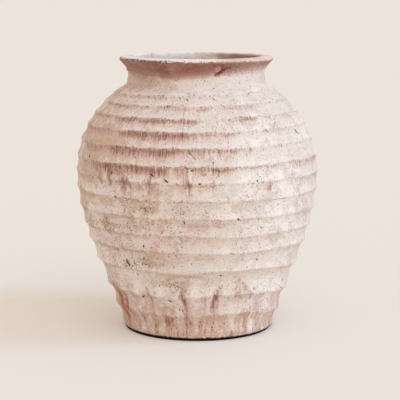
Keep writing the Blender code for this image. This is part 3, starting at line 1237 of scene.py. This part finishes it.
        # Grit lightens and darkens the coat by a few hundredths, more where the grit field is high.
        inputs = {0: part["sand"], 1: self.sand_share, 2: part["fine"]}
        sandy = node(tree, "ShaderNodeMath", inputs, operation="MULTIPLY_ADD").outputs[0]
        inputs = {0: part["grit"], 1: self.grit_contrast, 2: self.least_contrast}
        amount = node(tree, "ShaderNodeMath", inputs, operation="MULTIPLY_ADD").outputs[0]
        inputs = {0: sandy, 1: amount, 2: 1.0}
        level = node(tree, "ShaderNodeMath", inputs, operation="MULTIPLY_ADD").outputs[0]
        colour = node(tree, "ShaderNodeVectorMath", {0: colour, "Scale": level}, operation="SCALE").outputs[0]
        return colour, share

    def material(self) -> bpy.types.Material:
        """Build the node tree: colours by weighted sums of fields and noises, relief by the same shares."""
        material, tree = new_tree("chalky_slip_on_terracotta")
        part = self.parts(tree)
        self.add_sums(tree, part)
        colour, share = self.lay_colours(tree, part)
        # Bare clay and runs lie a little lower than the coat, and grains stand 0.2 mm out of it.
        reliefs = (
            (share["bare"], -0.2), (share["slide"], -0.35), (share["grime_and_shade"], -0.3), (share["hole"], -0.9),
            (share["speck"], -0.35), (part["sand"], 0.20), (part["fine"], 0.16),
        )
        relief = 0.0
        for source, height in reliefs:
            inputs = {0: source, 1: height, 2: relief}
            relief = node(tree, "ShaderNodeMath", inputs, operation="MULTIPLY_ADD").outputs[0]
        bump = node(tree, "ShaderNodeBump", {"Strength": 1.0, "Distance": MM, "Height": relief})
        shader = node(tree, "ShaderNodeBsdfPrincipled", {
            "Base Color": colour, "Roughness": self.roughness, "Specular IOR Level": self.specular,
            "Normal": bump.outputs[0],
        })
        node(tree, "ShaderNodeOutputMaterial", {"Surface": shader.outputs[0]})
        return material


@dataclass(frozen=True)
class PressedFelt:
    """Black wool felt, pressed into sheet: near black, without gloss, with a faint nap of fibres."""

    light: str = "120C0A"
    dark: str = "050303"
    fibre: float = 1.2
    detail: float = 3.0
    nap_height: float = 0.3
    nap_strength: float = 0.6
    roughness: float = 0.97
    specular: float = 0.1
    sheen: float = 0.15

    def material(self) -> bpy.types.Material:
        """Build the node tree: noise the size of a tuft of fibres for colour and bump."""
        material, tree = new_tree("pressed_wool_felt")
        place = node(tree, "ShaderNodeTexCoord").outputs["Object"]
        inputs = {"Vector": place, "Scale": 1.0 / (self.fibre * MM), "Detail": self.detail}
        nap = node(tree, "ShaderNodeTexNoise", inputs).outputs["Fac"]
        inputs = {0: nap, 6: linear(self.dark), 7: linear(self.light)}
        colour = node(tree, "ShaderNodeMix", inputs, data_type="RGBA").outputs[2]
        inputs = {"Strength": self.nap_strength, "Distance": self.nap_height * MM, "Height": nap}
        bump = node(tree, "ShaderNodeBump", inputs)
        shader = node(tree, "ShaderNodeBsdfPrincipled", {
            "Base Color": colour, "Roughness": self.roughness, "Specular IOR Level": self.specular,
            "Sheen Weight": self.sheen, "Normal": bump.outputs[0],
        })
        node(tree, "ShaderNodeOutputMaterial", {"Surface": shader.outputs[0]})
        return material


def closed_grid(points: Array) -> tuple[Array, list[tuple[int, ...]]]:
    """Turn a grid whose first and last rows are single points into vertices and faces of a closed skin.

    Row i and i + 1 are joined by quads that run on past the last column to the first, in the order (i, j),
    (i + 1, j), (i + 1, j + 1), (i, j + 1), and the two end rows become one vertex each with a fan round it.

    Args:
        points: Places, shape (rows, columns, 3).

    Returns:
        Vertices, one pole, the middle rows and the other pole, and the faces as vertex numbers.
    """
    rows, columns = points.shape[:2]
    vertices = np.concatenate([points[:1, 0], points[1:-1].reshape(-1, 3), points[-1:, 0]])
    here = 1 + np.arange((rows - 2) * columns).reshape(rows - 2, columns)
    beside = np.roll(here, -1, axis=1)
    quads = np.stack([here[:-1], here[1:], beside[1:], beside[:-1]], axis=-1).reshape(-1, 4)
    first = np.stack([np.zeros(columns, int), here[0], beside[0]], axis=-1)
    last = np.stack([here[-1], np.full(columns, len(vertices) - 1), beside[-1]], axis=-1)
    return vertices, quads.tolist() + first.tolist() + last.tolist()


def flat_field(values: Array) -> Array:
    """Values of a grid as closed_grid orders its vertices."""
    return np.concatenate([values[:1, 0], values[1:-1].reshape(-1, *values.shape[2:]), values[-1:, 0]])


def make_piece(name: str, points: Array, fields: dict[str, Array],
               material: bpy.types.Material) -> bpy.types.Object:
    """Make a closed, smooth-shaded object of a grid in millimetres.

    Args:
        name: The piece's name.
        points: Places, shape (rows, columns, 3).
        fields: Attribute name to values on the same grid, single numbers or vectors.
        material: What it is finished with.

    Returns:
        The new object, at the origin.
    """
    vertices, faces = closed_grid(points)
    mesh = bpy.data.meshes.new(name)
    mesh.from_pydata((vertices * MM).tolist(), [], faces)
    for label, values in fields.items():
        vector = values.ndim == 3
        attribute = mesh.attributes.new(label, "FLOAT_VECTOR" if vector else "FLOAT", "POINT")
        flat = flat_field(values).astype(np.float32).ravel()
        attribute.data.foreach_set("vector" if vector else "value", flat)
    mesh.shade_smooth()
    mesh.materials.append(material)
    piece = bpy.data.objects.new(name, mesh)
    bpy.context.scene.collection.objects.link(piece)
    return piece


@dataclass(frozen=True)
class Throwing:
    """What the thrower's hands and the sand in the clay leave on the whole skin."""

    waves: Noise = Noise(21, 60.0, 0.45)
    waves_inside: float = 0.5
    finger_lines: Noise = Noise(22, (26.0, 26.0, 6.0), 0.16)
    grain: Noise = Noise(23, 9.0, 0.20, 2)
    inner_rings: Noise = Noise(24, (90.0, 90.0, 7.0), 0.5)
    rim_grain: Noise = Noise(25, 7.0, 0.16, 2)
    collar: Hump = Hump(252.0, 260.0, 278.0, 284.0)
    collar_pitch: float = 3.7
    collar_depth: float = 0.07
    collar_drift: Noise = Noise(26, 40.0, 2.0)

    def work(self, skin: Surface) -> None:
        """Add slow waves, finger lines, coarse grain, and on the collar fine lines, one pitch apart.

        Args:
            skin: The grid, whose lift is changed.
        """
        points = skin.points()
        level = points[..., 2]
        waves = self.waves.at(points)
        turns = np.sin(math.tau * level / self.collar_pitch + self.collar_drift.at(points))
        lines = self.finger_lines.at(points) + self.collar_depth * self.collar.of(level) * turns
        outside = skin.rows_of(Region.RIM_TOP, Region.LIP_EDGE, *COATED)
        skin.lift += np.where(outside, waves + lines + self.grain.at(points), self.waves_inside * waves)
        skin.gain(self.inner_rings.at(points), (Region.INNER_WALL, Region.MOUTH), lift=1.0)
        skin.gain(self.rim_grain.at(points), (Region.LIP_EDGE, Region.RIM_TOP, Region.MOUTH), lift=1.0)


@dataclass(frozen=True)
class Tongues:
    """Clay that shows under the crests, in tongues whose lengths vary round the pot.

    At h below a crest, the clay rises to the band's strength over 3 mm, and from there it falls as fall (1 -
    h / (stretch L)). L is the band's reach, longer and shorter by noise that is the same all the way down a
    groove. Behind, where there are no bands, the noise decides.
    """

    bands: tuple[StainBand, ...]
    usual_reach: float = 6.0
    drift: Noise = Noise(35, 9.0, 2.5)
    lengths: tuple[Noise, ...] = (Noise(31, 13.0, 0.30), Noise(32, 5.5, 0.18))
    behind: Ramp = Ramp(78.0, 98.0)
    behind_ribs: Hump = Hump(0.6, 3.0, 6.5, 9.5)
    behind_mean: float = 0.40
    behind_patches: Noise = Noise(33, (60.0, 60.0, 30.0), 0.55)
    behind_reach: float = 5.0
    rise: Ramp = Ramp(0.0, 3.0)
    fall: float = 1.6
    stretch: float = 1.12
    mottle_mean: float = 0.90
    mottle: Noise = Noise(34, 15.0, 0.25, 2)
    groove_mottle: Noise = Noise(37, 12.0, 0.20, 2)
    streaked: Ramp = Ramp(14.0, 7.0)
    veil_start: float = 0.6
    veil_end: float = 1.8
    crumb_line: Bell = Bell(1.3, 1.1)
    crumb_ribs: Hump = Hump(0.2, 1.2, 8.0, 13.0)
    crumb_mean: float = 0.34
    crumb_patches: Noise = Noise(36, 5.0, 0.45)
    brown_left: Ramp = Ramp(0.1, 0.6)
    painted_groove_shade: Bell = Bell(3.5, 3.5)
    painted_shade_ribs: Hump = Hump(6.5, 8.0, 12.0, 13.5)
    painted_shade_left: Ramp = Ramp(0.3, 0.6)
    painted_shade_front: Ramp = Ramp(-0.1, 0.2)
    painted_crest_highlight: Bell = Bell(1.0, 0.28)

    def reaches(self, degrees: Array, grooves: Grooves) -> tuple[Array, Array]:
        """Look up how strongly the clay shows, and how far down.

        Args:
            degrees: Azimuths of the points.
            grooves: Where the points stand in the grooves.

        Returns:
            The strength and the reach in millimetres at each point.
        """
        strong = np.zeros(degrees.shape)
        reach = np.full(degrees.shape, self.usual_reach)
        for band in self.bands:
            share = band.share(degrees)
            chosen = (grooves.rib == band.rib) & (share > strong)
            strong = np.where(chosen, share, strong)
            reach = np.where(chosen, band.reach, reach)
        patchy = np.clip(self.behind_mean + self.behind_patches.at(grooves.along), 0.0, 1.0)
        behind = self.behind.of(np.abs(degrees)) * self.behind_ribs.of(grooves.number) * patchy
        reach = np.where(behind > strong, self.behind_reach * (1.0 + patchy), reach)
        return np.maximum(strong, behind), reach

    def bare(self, skin: Surface, grooves: Grooves) -> None:
        """Bare the clay under the crests, with fine streaks in it and a thin veil of slip round it.

        Args:
            skin: The grid, whose clay, drip, wash, tint and crumbs are changed.
            grooves: Where its points stand in the grooves.
        """
        below = grooves.below
        degrees = np.degrees(skin.azimuth) + self.drift.at(grooves.along)
        strong, reach = self.reaches(degrees, grooves)
        length = reach * (1.0 + sum(noise.at(grooves.along) for noise in self.lengths))
        bared = strong * self.rise.of(below)
        bared = bared * np.clip(self.fall * (1.0 - below / (self.stretch * length)), 0.0, 1.0)
        mottle = self.mottle_mean + self.mottle.at(skin.wrap()) + self.groove_mottle.at(grooves.along)
        veil = 1.0 - ease(below, self.veil_start * length, self.veil_end * length)
        skin.gain(bared * mottle, (Region.WALL,), clay=0.92)
        skin.gain(strong * self.streaked.of(below), (Region.WALL,), drip=0.80)
        skin.gain(strong * veil, (Region.WALL,), wash=0.7)
        self.soil(skin, grooves, strong, bared)

    def soil(self, skin: Surface, grooves: Grooves, strong: Array, bared: Array) -> None:
        """Leave what gathers along the crests.

        A line just below a crest is darker: crumbs of dirt, and painted shade under the crest. Brown crumbs
        lie on the bare clay at the left. Painted shade, tan, lies in the low grooves at the left. On the ramp
        just above a crest the slip is painted whiter, a painted highlight.

        Args:
            skin: The grid, whose wash, tint and crumbs are changed.
            grooves: Where its points stand in the grooves.
            strong: How strongly the clay shows in each point's groove.
            bared: How bare the clay is at each point.
        """
        number, left = grooves.number, -skin.side
        # Painted shade and crumbs of dirt: a darker line just below each crest.
        line = self.crumb_line.of(grooves.below)
        dirt_and_shade_amount = self.crumb_ribs.of(number) * (self.crumb_mean + self.crumb_patches.at(grooves.along))
        # Painted shade: a tan darkening below the crests of the low grooves at the left.
        painted_groove_shade = self.painted_groove_shade.of(grooves.below) * self.painted_shade_ribs.of(number)
        painted_groove_shade = painted_groove_shade * self.painted_shade_left.of(left) * self.painted_shade_front.of(skin.facing)
        skin.gain(line * dirt_and_shade_amount, (Region.WALL,), crumb=0.85)
        skin.gain(line * strong, (Region.WALL,), crumb=0.24)
        skin.gain(bared * self.brown_left.of(left), (Region.WALL,), crumb=0.42)
        skin.gain(painted_groove_shade, (Region.WALL,), tint=0.55, wash=0.06)
        # Painted highlight: the slip on the ramp just above each crest is whiter.
        skin.gain(self.painted_crest_highlight.of(number - grooves.rib), (Region.WALL,), wash=-0.35)


@dataclass(frozen=True)
class Coat:
    """The slip over the whole outside: how thin, warm, gritty or speckled it is.

    The foot field falls by 1 over foot_height, from its limit near the bottom, and is uneven round the pot.
    The material adds its own runs to it, and bares the clay where the sum is high.
    """

    mottle: Noise = Noise(42, 26.0, 1.0, 2)
    front: Ramp = Ramp(-0.7, 0.3)
    foot_level: float = 10.0
    foot_height: float = 46.0
    foot_hang: Noise = Noise(44, (22.0, 22.0, 400.0), 9.0)
    foot_side: float = 4.0
    foot_limit: float = 0.56
    low: Ramp = Ramp(-0.1, 0.6)
    body: Hump = Hump(60.0, 80.0, 165.0, 195.0)
    left: Ramp = Ramp(0.0, 0.8)
    shaded_side: Ramp = Ramp(0.55, 0.95)
    shaded_levels: Hump = Hump(120.0, 160.0, 240.0, 262.0)
    speckle_mean: float = 0.5
    speckle_noise: Noise = Noise(45, 22.0, 1.3, 2)
    most_speckles: float = 1.3
    bottom: Ramp = Ramp(7.0, 3.0)
    chip_noise: Noise = Noise(48, 2.6)
    chip: Ramp = Ramp(0.1, 0.5)
    chip_level: Bell = Bell(5.0, 1.0)
    glue_and_shade_height: float = 3.7
    glue_and_shade_edge: Noise = Noise(47, 3.0, 0.8)
    sand_mean: float = 0.55
    sand_noise: Noise = Noise(46, 30.0, 0.9, 2)
    sand_side: float = 0.10
    sand_limits: tuple[float, float] = (0.1, 1.2)
    grit_elsewhere: float = 0.3

    def brush(self, skin: Surface) -> None:
        """Lay the coat.

        Chips of slip cling to the foot's lowest edge, above a ragged dark band at the pad: dark glue that
        holds the pad, and painted contact shade under the foot.

        Args:
            skin: The grid, whose foot, clay, drip, wash, tint, crumbs, grit and pit are changed.
        """
        points = skin.points()
        level = points[..., 2]
        side = skin.side * self.front.of(skin.facing)
        height = level - self.foot_level + self.foot_hang.at(skin.wrap()) + self.foot_side * side
        skin.foot = np.where(skin.rows_of(*COATED), 1.0 - height / self.foot_height, skin.foot)
        low = self.low.of(skin.foot)
        skin.foot = np.minimum(skin.foot, self.foot_limit)
        mottle, body = self.mottle.at(points), self.body.of(level)
        shaded = self.shaded_side.of(-side) * self.shaded_levels.of(level)
        speckles = np.clip(self.speckle_mean + self.speckle_noise.at(points), 0.0, self.most_speckles)
        sand = np.clip(self.sand_mean + self.sand_noise.at(points) + self.sand_side * side, *self.sand_limits)
        chips = self.chip.of(self.chip_noise.at(points)) * self.chip_level.of(level)
        skin.gain(1.0, COATED, wash=0.05)
        # Towards the left, which the lamps leave in shade, the coat is warmer and thinner, and towards the
        # right whiter and cooler: partly the slip's own tone, partly painted shade and light.
        skin.gain(side, COATED, wash=-0.28, tint=-0.30)
        skin.gain(mottle, COATED, wash=0.25, clay=0.06)
        skin.gain(low, COATED, wash=0.50, drip=0.12, tint=0.28, grit=0.45)
        skin.gain(body, COATED, tint=-0.25)
        skin.gain(body * mottle, COATED, tint=0.35)
        # Painted shade, partly the slip's own tone: a warmer tint on the shaded upper left.
        skin.gain(shaded, COATED, tint=0.30)
        skin.gain(speckles, COATED, crumb=0.15)
        skin.gain(speckles * self.left.of(-side) * body, COATED, crumb=0.08)
        skin.gain(self.bottom.of(level), COATED, crumb=0.25)
        skin.gain(sand, COATED, grit=1.0)
        skin.gain(chips, COATED, foot=-1.0)
        skin.grit += np.where(skin.rows_of(*COATED), 0.0, self.grit_elsewhere)
        # A ragged dark band at the pad: dark glue, and painted contact shade under the foot.
        glue_and_shade = self.glue_and_shade_height - level + self.glue_and_shade_edge.at(points)
        below = skin.rows_of(Region.WALL, Region.FOOT_EDGE, Region.BASE)
        skin.pit = np.where(below, np.maximum(skin.pit, glue_and_shade), skin.pit)


@dataclass(frozen=True)
class NeckClay:
    """Clay left bare under the lip, with a ragged, crumbly upper border and a soft lower one.

    With h the height below the lip's lower corner, the clay rises over 2.3 mm of h, from a start on the lip's
    edge that is highest at the left, and fades over 14 mm, which begin earlier at the right.
    """

    strength: float = 1.16
    start: Ramp = Ramp(-0.4, 1.9)
    creep: SideToSide = SideToSide(2.2, parts=((1.1, Ramp(-0.1, -0.85)), (0.9, Bell(0.3, 0.25))))
    crumbs: Noise = Noise(51, 3.6, 1.0, 2)
    start_ragged: float = 0.9
    fade: Ramp = Ramp(6.0, 20.0)
    fade_soft: float = 2.5
    early: SideToSide = SideToSide(
        slope=2.0, parts=((2.0, Ramp(-0.3, -0.8)), (3.5, Ramp(0.0, 0.3)), (1.5, Ramp(0.6, 0.95))))
    thinness: SideToSide = SideToSide(1.0, parts=((-0.30, Ramp(0.3, 0.9)), (-0.20, Ramp(-0.55, -0.85))))
    soft: Noise = Noise(52, 12.0, 1.0, 3)
    mottle: float = 0.25
    grit: float = 0.45
    corner: Bell = Bell(0.5, 1.4)
    left: Ramp = Ramp(0.2, -0.5)
    fleck_noise: Noise = Noise(54, 1.6, 1.7)
    fleck_level: float = 0.15
    fleck_right: float = 1.4
    fleck_limit: float = 0.4
    fleck_zone: float = 0.35

    def bare(self, skin: Surface, lip_corner: float) -> None:
        """Bare the clay, and crumble the coat's border on the lip.

        Args:
            skin: The grid, whose lift, clay, pit, grit and crumbs are changed.
            lip_corner: Height of the lip's lower corner.
        """
        points = skin.points()
        under = lip_corner - points[..., 2]
        border = under + self.creep.of(skin.side)
        crumbs, soft = self.crumbs.at(points), self.soft.at(points)
        fade = 1.0 - self.fade.of(under + self.fade_soft * soft + self.early.of(skin.side))
        bare = self.strength * self.start.of(border + self.start_ragged * crumbs) * fade
        bare = bare * self.thinness.of(skin.side) * (1.0 + self.mottle * soft)
        zone, lip = (Region.LIP_EDGE, *COATED), (Region.LIP_EDGE, Region.LIP_UNDERSIDE)
        skin.grit *= np.where(skin.rows_of(*zone), 1.0 + self.grit * np.clip(bare, 0.0, 1.0), 1.0)
        skin.gain(bare, zone, clay=1.0)
        skin.gain(bare * (under > 0.0), zone, crumb=0.15)
        # Along the lip's lower corner the coat is darker, more at the left: crumbs of dirt, partly painted
        # shade under the lip.
        front, left = self.corner.of(border), self.left.of(skin.side)
        skin.gain(front, lip, crumb=0.25)
        skin.gain(front * left, lip, crumb=0.50)
        skin.gain(front * crumbs, lip, lift=0.35)
        flecks = self.fleck_noise.at(points) - self.fleck_level - self.fleck_right * (1.0 - left)
        flecked = skin.rows_of(*lip) & (front > self.fleck_zone)
        skin.pit = np.where(flecked, np.maximum(skin.pit, np.minimum(flecks, self.fleck_limit)), skin.pit)


@dataclass(frozen=True)
class Lining:
    """The hollow's coat: slip at the left, and brown clay at the right and in the depth."""

    soft: Noise = Noise(53, 14.0, 1.0, 2)
    right: Ramp = Ramp(8.0, 46.0)
    right_border: float = 12.0
    right_clay: float = 0.85
    deep: Ramp = Ramp(285.0, 262.0)
    deep_clay: float = 0.8
    mouth: Ramp = Ramp(300.0, 297.0)
    rim_right: Ramp = Ramp(-0.1, 0.6)

    def lay(self, skin: Surface) -> None:
        """Line the hollow, whiten the rim at the left, and leave the base half bare.

        Args:
            skin: The grid, whose clay, wash and tint are changed.
        """
        points = skin.points()
        level, soft = points[..., 2], self.soft.at(points)
        right = self.right.of(points[..., 0] + self.right_border * soft)
        brown = np.maximum(self.right_clay * right, self.deep_clay * self.deep.of(level))
        brown = brown * np.where(skin.rows_of(Region.MOUTH), self.mouth.of(level), 1.0)
        inner = (Region.INNER_FLOOR, Region.INNER_WALL, Region.MOUTH)
        skin.gain(brown, inner, clay=1.0)
        skin.gain(1.0, inner, wash=0.42, tint=0.24)
        skin.gain(soft, inner, wash=0.2)
        rim = (Region.MOUTH, Region.RIM_TOP, Region.LIP_EDGE)
        skin.gain(1.0, rim, wash=-0.9)
        skin.gain(self.rim_right.of(skin.side), rim, wash=1.4)
        skin.gain(soft, rim, wash=0.3)
        skin.gain(1.0, (Region.FOOT_EDGE, Region.BASE), clay=0.5)


@dataclass(frozen=True)
class VaseBody:
    """The thrown pot with its coat: one closed skin from the inner floor, over the lip, to the base."""

    outline: Outline
    ribs: RibSet
    finish: ChalkySlip
    tongues: Tongues
    patches: tuple[Patch, ...]
    marks: dict[MarkKind, tuple[Mark, ...]]
    scatter: Scatter = Scatter()
    throwing: Throwing = Throwing()
    coat: Coat = Coat()
    neck_clay: NeckClay = NeckClay()
    lining: Lining = Lining()
    columns: int = 312
    crowding: float = 0.42
    foot_lean: float = 0.8
    top_lean: float = -1.6
    coat_thickness: float = 0.5
    bare: Ramp = Ramp(0.3, 0.8)

    def surface(self) -> Surface:
        """Lay out the plain grid. The columns crowd to the front, where the placed marks are.

        For an even turn t, a column stands at the azimuth t - c sin t, where c is the crowding.
        """
        radius, level, region = self.outline.rows()
        turn = np.arange(self.columns) * math.tau / self.columns - math.pi
        return Surface(radius, level, region, turn - self.crowding * np.sin(turn))

    def lifted(self, skin: Surface) -> Array:
        """Lift each point along its row's normal, keep the rim's height, and lean the pot a little.

        Bare clay lies lower by the coat's thickness, and the base and the inner floor stay as they are drawn.

        Args:
            skin: The finished grid.

        Returns:
            Places of the grid's points.
        """
        coat_lost = np.where(skin.rows_of(*COATED), self.coat_thickness * self.bare.of(skin.clay), 0.0)
        kept = skin.rows_of(Region.BASE, Region.FOOT_EDGE, Region.INNER_FLOOR)
        lift = np.where(kept, 0.0, skin.lift - coat_lost)
        radius = skin.radius[:, None] + lift * skin.normal_r[:, None]
        level = np.minimum(skin.level[:, None] + lift * skin.normal_z[:, None], self.outline.rim_level)
        lean = self.foot_lean + (self.top_lean - self.foot_lean) * level / self.outline.rim_level
        return np.stack([radius * skin.side + lean, -radius * skin.facing, level], axis=-1)

    def build(self) -> bpy.types.Object:
        """Make the piece: throw, press, coat and mark the skin, then make a mesh of it.

        Returns:
            The pot's object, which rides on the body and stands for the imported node.
        """
        skin = self.surface()
        self.throwing.work(skin)
        self.tongues.bare(skin, self.ribs.press(skin))
        self.coat.brush(skin)
        self.neck_clay.bare(skin, self.outline.rim_level - self.outline.rim_fall - self.outline.lip_edge)
        self.lining.lay(skin)
        for patch in self.patches:
            skin.dab(patch)
        for kind, marks in self.marks.items():
            for mark in marks:
                skin.stamp(kind, mark)
        for mark in self.scatter.marks():
            skin.stamp(MarkKind.PIT, mark)
        fields = {name: getattr(skin, name) for name in FIELDS}
        fields["wrap"] = skin.wrap() * MM
        piece = make_piece("vase_shell", self.lifted(skin), fields, self.finish.material())
        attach(piece, BODY)
        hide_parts(BODY_NODE)
        return piece


@dataclass(frozen=True)
class BasePad:
    """The felt disc glued under the foot: flat below, with a soft, slightly fuzzy edge."""

    radius: float
    thickness: float
    finish: PressedFelt
    columns: int = 256
    edge: float = 0.7
    edge_steps: int = 4
    rings: tuple[float, ...] = (0.0, 0.4, 0.8)
    fibres: Noise = Noise(61, 2.5)
    fuzz: float = 0.0016
    fuzz_start: float = 0.1

    @classmethod
    def of_node(cls, node_name: str, finish: PressedFelt) -> "BasePad":
        """Take the pad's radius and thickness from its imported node."""
        low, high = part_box(node_name)
        return cls((high.x - low.x) / 2.0 / MM, (high.z - low.z) / MM, finish)

    def build(self) -> bpy.types.Object:
        """Make the disc: across the top, round the edge by two quarter arcs, and back across the bottom.

        The edge is drawn in by fuzz times its radius, more and less by noise.

        Returns:
            The pad's object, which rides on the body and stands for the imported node.
        """
        inner = self.radius - self.edge
        top = arc(inner, self.thickness - self.edge, self.edge, 90, 0, self.edge_steps)
        bottom = arc(inner, self.edge, self.edge, 0, -90, self.edge_steps)
        rings = np.array(self.rings) * inner
        radius = np.concatenate([rings, top[0], bottom[0], rings[::-1]])[:, None]
        level = np.concatenate([np.full(len(rings), self.thickness), top[1], bottom[1], np.zeros(len(rings))])
        azimuth = np.radians(np.arange(self.columns) * 360.0 / self.columns)
        x, y = radius * np.sin(azimuth), -radius * np.cos(azimuth)
        points = np.stack([x, y, np.broadcast_to(level[:, None], x.shape)], axis=-1)
        drawn_in = np.where(radius > inner - self.fuzz_start, self.fuzz * (1.0 + self.fibres.at(points)), 0.0)
        points[..., :2] *= 1.0 - drawn_in[..., None]
        piece = make_piece("felt_pad", points, {}, self.finish.material())
        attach(piece, BODY)
        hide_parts(PAD_NODE)
        return piece


@dataclass(frozen=True)
class Softbox:
    """A wide, distant lamp. Its level is the share of a colour that it shows on a surface that faces it."""

    name: str
    azimuth: float
    elevation: float
    size: float
    level: float
    colour: str

    def build(self) -> bpy.types.Object:
        """Make the lamp, a sun as wide as size degrees."""
        data = bpy.data.lights.new(self.name, "SUN")
        data.energy = self.level * math.pi
        data.angle = math.radians(self.size)
        data.color = linear(self.colour)[:3]
        lamp = bpy.data.objects.new(self.name, data)
        azimuth, elevation = math.radians(self.azimuth), math.radians(self.elevation)
        toward = Vector((math.sin(azimuth) * math.cos(elevation), -math.cos(azimuth) * math.cos(elevation),
                         math.sin(elevation)))
        lamp.rotation_euler = toward.to_track_quat("Z", "Y").to_euler()
        lamp.location = toward
        bpy.context.scene.collection.objects.link(lamp)
        return lamp


@dataclass(frozen=True)
class Studio:
    """A pale seamless floor, a soft lamp from the right, a softer one from the front, and even light."""

    floor_colour: str = "ECECE8"
    backdrop_colour: str = "ECE4DB"
    bounce_colour: str = "F1E8DF"
    floor_half: float = 60.0
    paper_glow: float = 0.24
    lamps: tuple[Softbox, ...] = (
        Softbox("key", azimuth=80.0, elevation=37.0, size=24.0, level=0.32, colour="C2E0FF"),
        Softbox("front", azimuth=22.0, elevation=38.0, size=50.0, level=0.20, colour="F4FAFF"),
    )
    ambient_colour: str = "FFEBDC"
    ambient_level: float = 0.79
    camera_distance: float = 1.5966
    camera_elevation: float = 8.77
    camera_lens: float = 129.5
    sensor_width: float = 36.0
    target: tuple[float, float, float] = (0.00244, 0.0, 0.1402)

    @staticmethod
    def seen(tree: Tree) -> Socket:
        """Return 1 for rays that show the backdrop, straight or through gloss or glass, and 0 for others."""
        path = node(tree, "ShaderNodeLightPath")
        seen = path.outputs["Is Camera Ray"]
        for kind in ("Is Glossy Ray", "Is Transmission Ray"):
            inputs = {0: seen, 1: path.outputs[kind]}
            seen = node(tree, "ShaderNodeMath", inputs, operation="MAXIMUM").outputs[0]
        return seen

    def floor(self) -> bpy.types.Object:
        """Make the floor. The camera sees it paler, with a fainter shadow, than it lights the object."""
        half = self.floor_half
        corners = [(-half, -half, 0), (half, -half, 0), (half, half, 0), (-half, half, 0)]
        mesh = bpy.data.meshes.new("floor")
        mesh.from_pydata(corners, [], [(0, 1, 2, 3)])
        material, tree = new_tree("studio_paper")
        seen = self.seen(tree)
        inputs = {0: seen, 6: linear(self.bounce_colour), 7: linear(self.floor_colour)}
        colour = node(tree, "ShaderNodeMix", inputs, data_type="RGBA")
        paper = node(tree, "ShaderNodeBsdfDiffuse", {"Color": colour.outputs[2]})
        glow = node(tree, "ShaderNodeEmission", {"Color": linear(self.backdrop_colour), "Strength": 1.0})
        share = node(tree, "ShaderNodeMath", {0: seen, 1: self.paper_glow}, operation="MULTIPLY")
        inputs = {0: share.outputs[0], 1: paper.outputs[0], 2: glow.outputs[0]}
        both = node(tree, "ShaderNodeMixShader", inputs)
        node(tree, "ShaderNodeOutputMaterial", {"Surface": both.outputs[0]})
        mesh.materials.append(material)
        floor = bpy.data.objects.new("floor", mesh)
        bpy.context.scene.collection.objects.link(floor)
        return floor

    def world(self) -> None:
        """Even light from everywhere, and the backdrop's own colour where the camera sees past the floor."""
        world = bpy.data.worlds.new("studio")
        world.use_nodes = True
        tree = world.node_tree
        tree.nodes.clear()
        light = node(tree, "ShaderNodeBackground", {"Color": linear(self.ambient_colour),
                                                    "Strength": self.ambient_level})
        back = node(tree, "ShaderNodeBackground", {"Color": linear(self.backdrop_colour), "Strength": 1.0})
        inputs = {0: self.seen(tree), 1: light.outputs[0], 2: back.outputs[0]}
        both = node(tree, "ShaderNodeMixShader", inputs)
        node(tree, "ShaderNodeOutputWorld", {"Surface": both.outputs[0]})
        bpy.context.scene.world = world

    def camera(self) -> bpy.types.Object:
        """Make the camera at the photograph's viewing angle, a little above the vase's middle."""
        data = bpy.data.cameras.new("camera")
        data.lens = self.camera_lens
        data.sensor_width = self.sensor_width
        camera = bpy.data.objects.new("camera", data)
        elevation = math.radians(self.camera_elevation)
        back = Vector((0.0, -math.cos(elevation), math.sin(elevation)))
        camera.location = Vector(self.target) + back * self.camera_distance
        camera.rotation_euler = back.to_track_quat("Z", "Y").to_euler()
        bpy.context.scene.collection.objects.link(camera)
        bpy.context.scene.camera = camera
        return camera

    def build(self) -> None:
        """Make the floor, the light and the camera, and keep colours as they are written."""
        self.floor()
        self.world()
        for lamp in self.lamps:
            lamp.build()
        self.camera()
        bpy.context.scene.view_settings.view_transform = "Standard"


def main() -> None:
    """Build the pot, its pad and the studio, and report each piece."""
    logging.basicConfig(level=logging.INFO, format="%(name)s: %(message)s")
    outline = Outline.of_node(BODY_NODE)
    body = VaseBody(outline, RibSet(RIBS), ChalkySlip(), Tongues(BANDS), PATCHES, NAMED_MARKS)
    pad = BasePad.of_node(PAD_NODE, PressedFelt())
    for part in (body, pad):
        piece = part.build()
        log.info("%s: %d vertices, %d faces", piece.name, len(piece.data.vertices), len(piece.data.polygons))
    Studio().build()


if __name__ == "__main__":
    main()
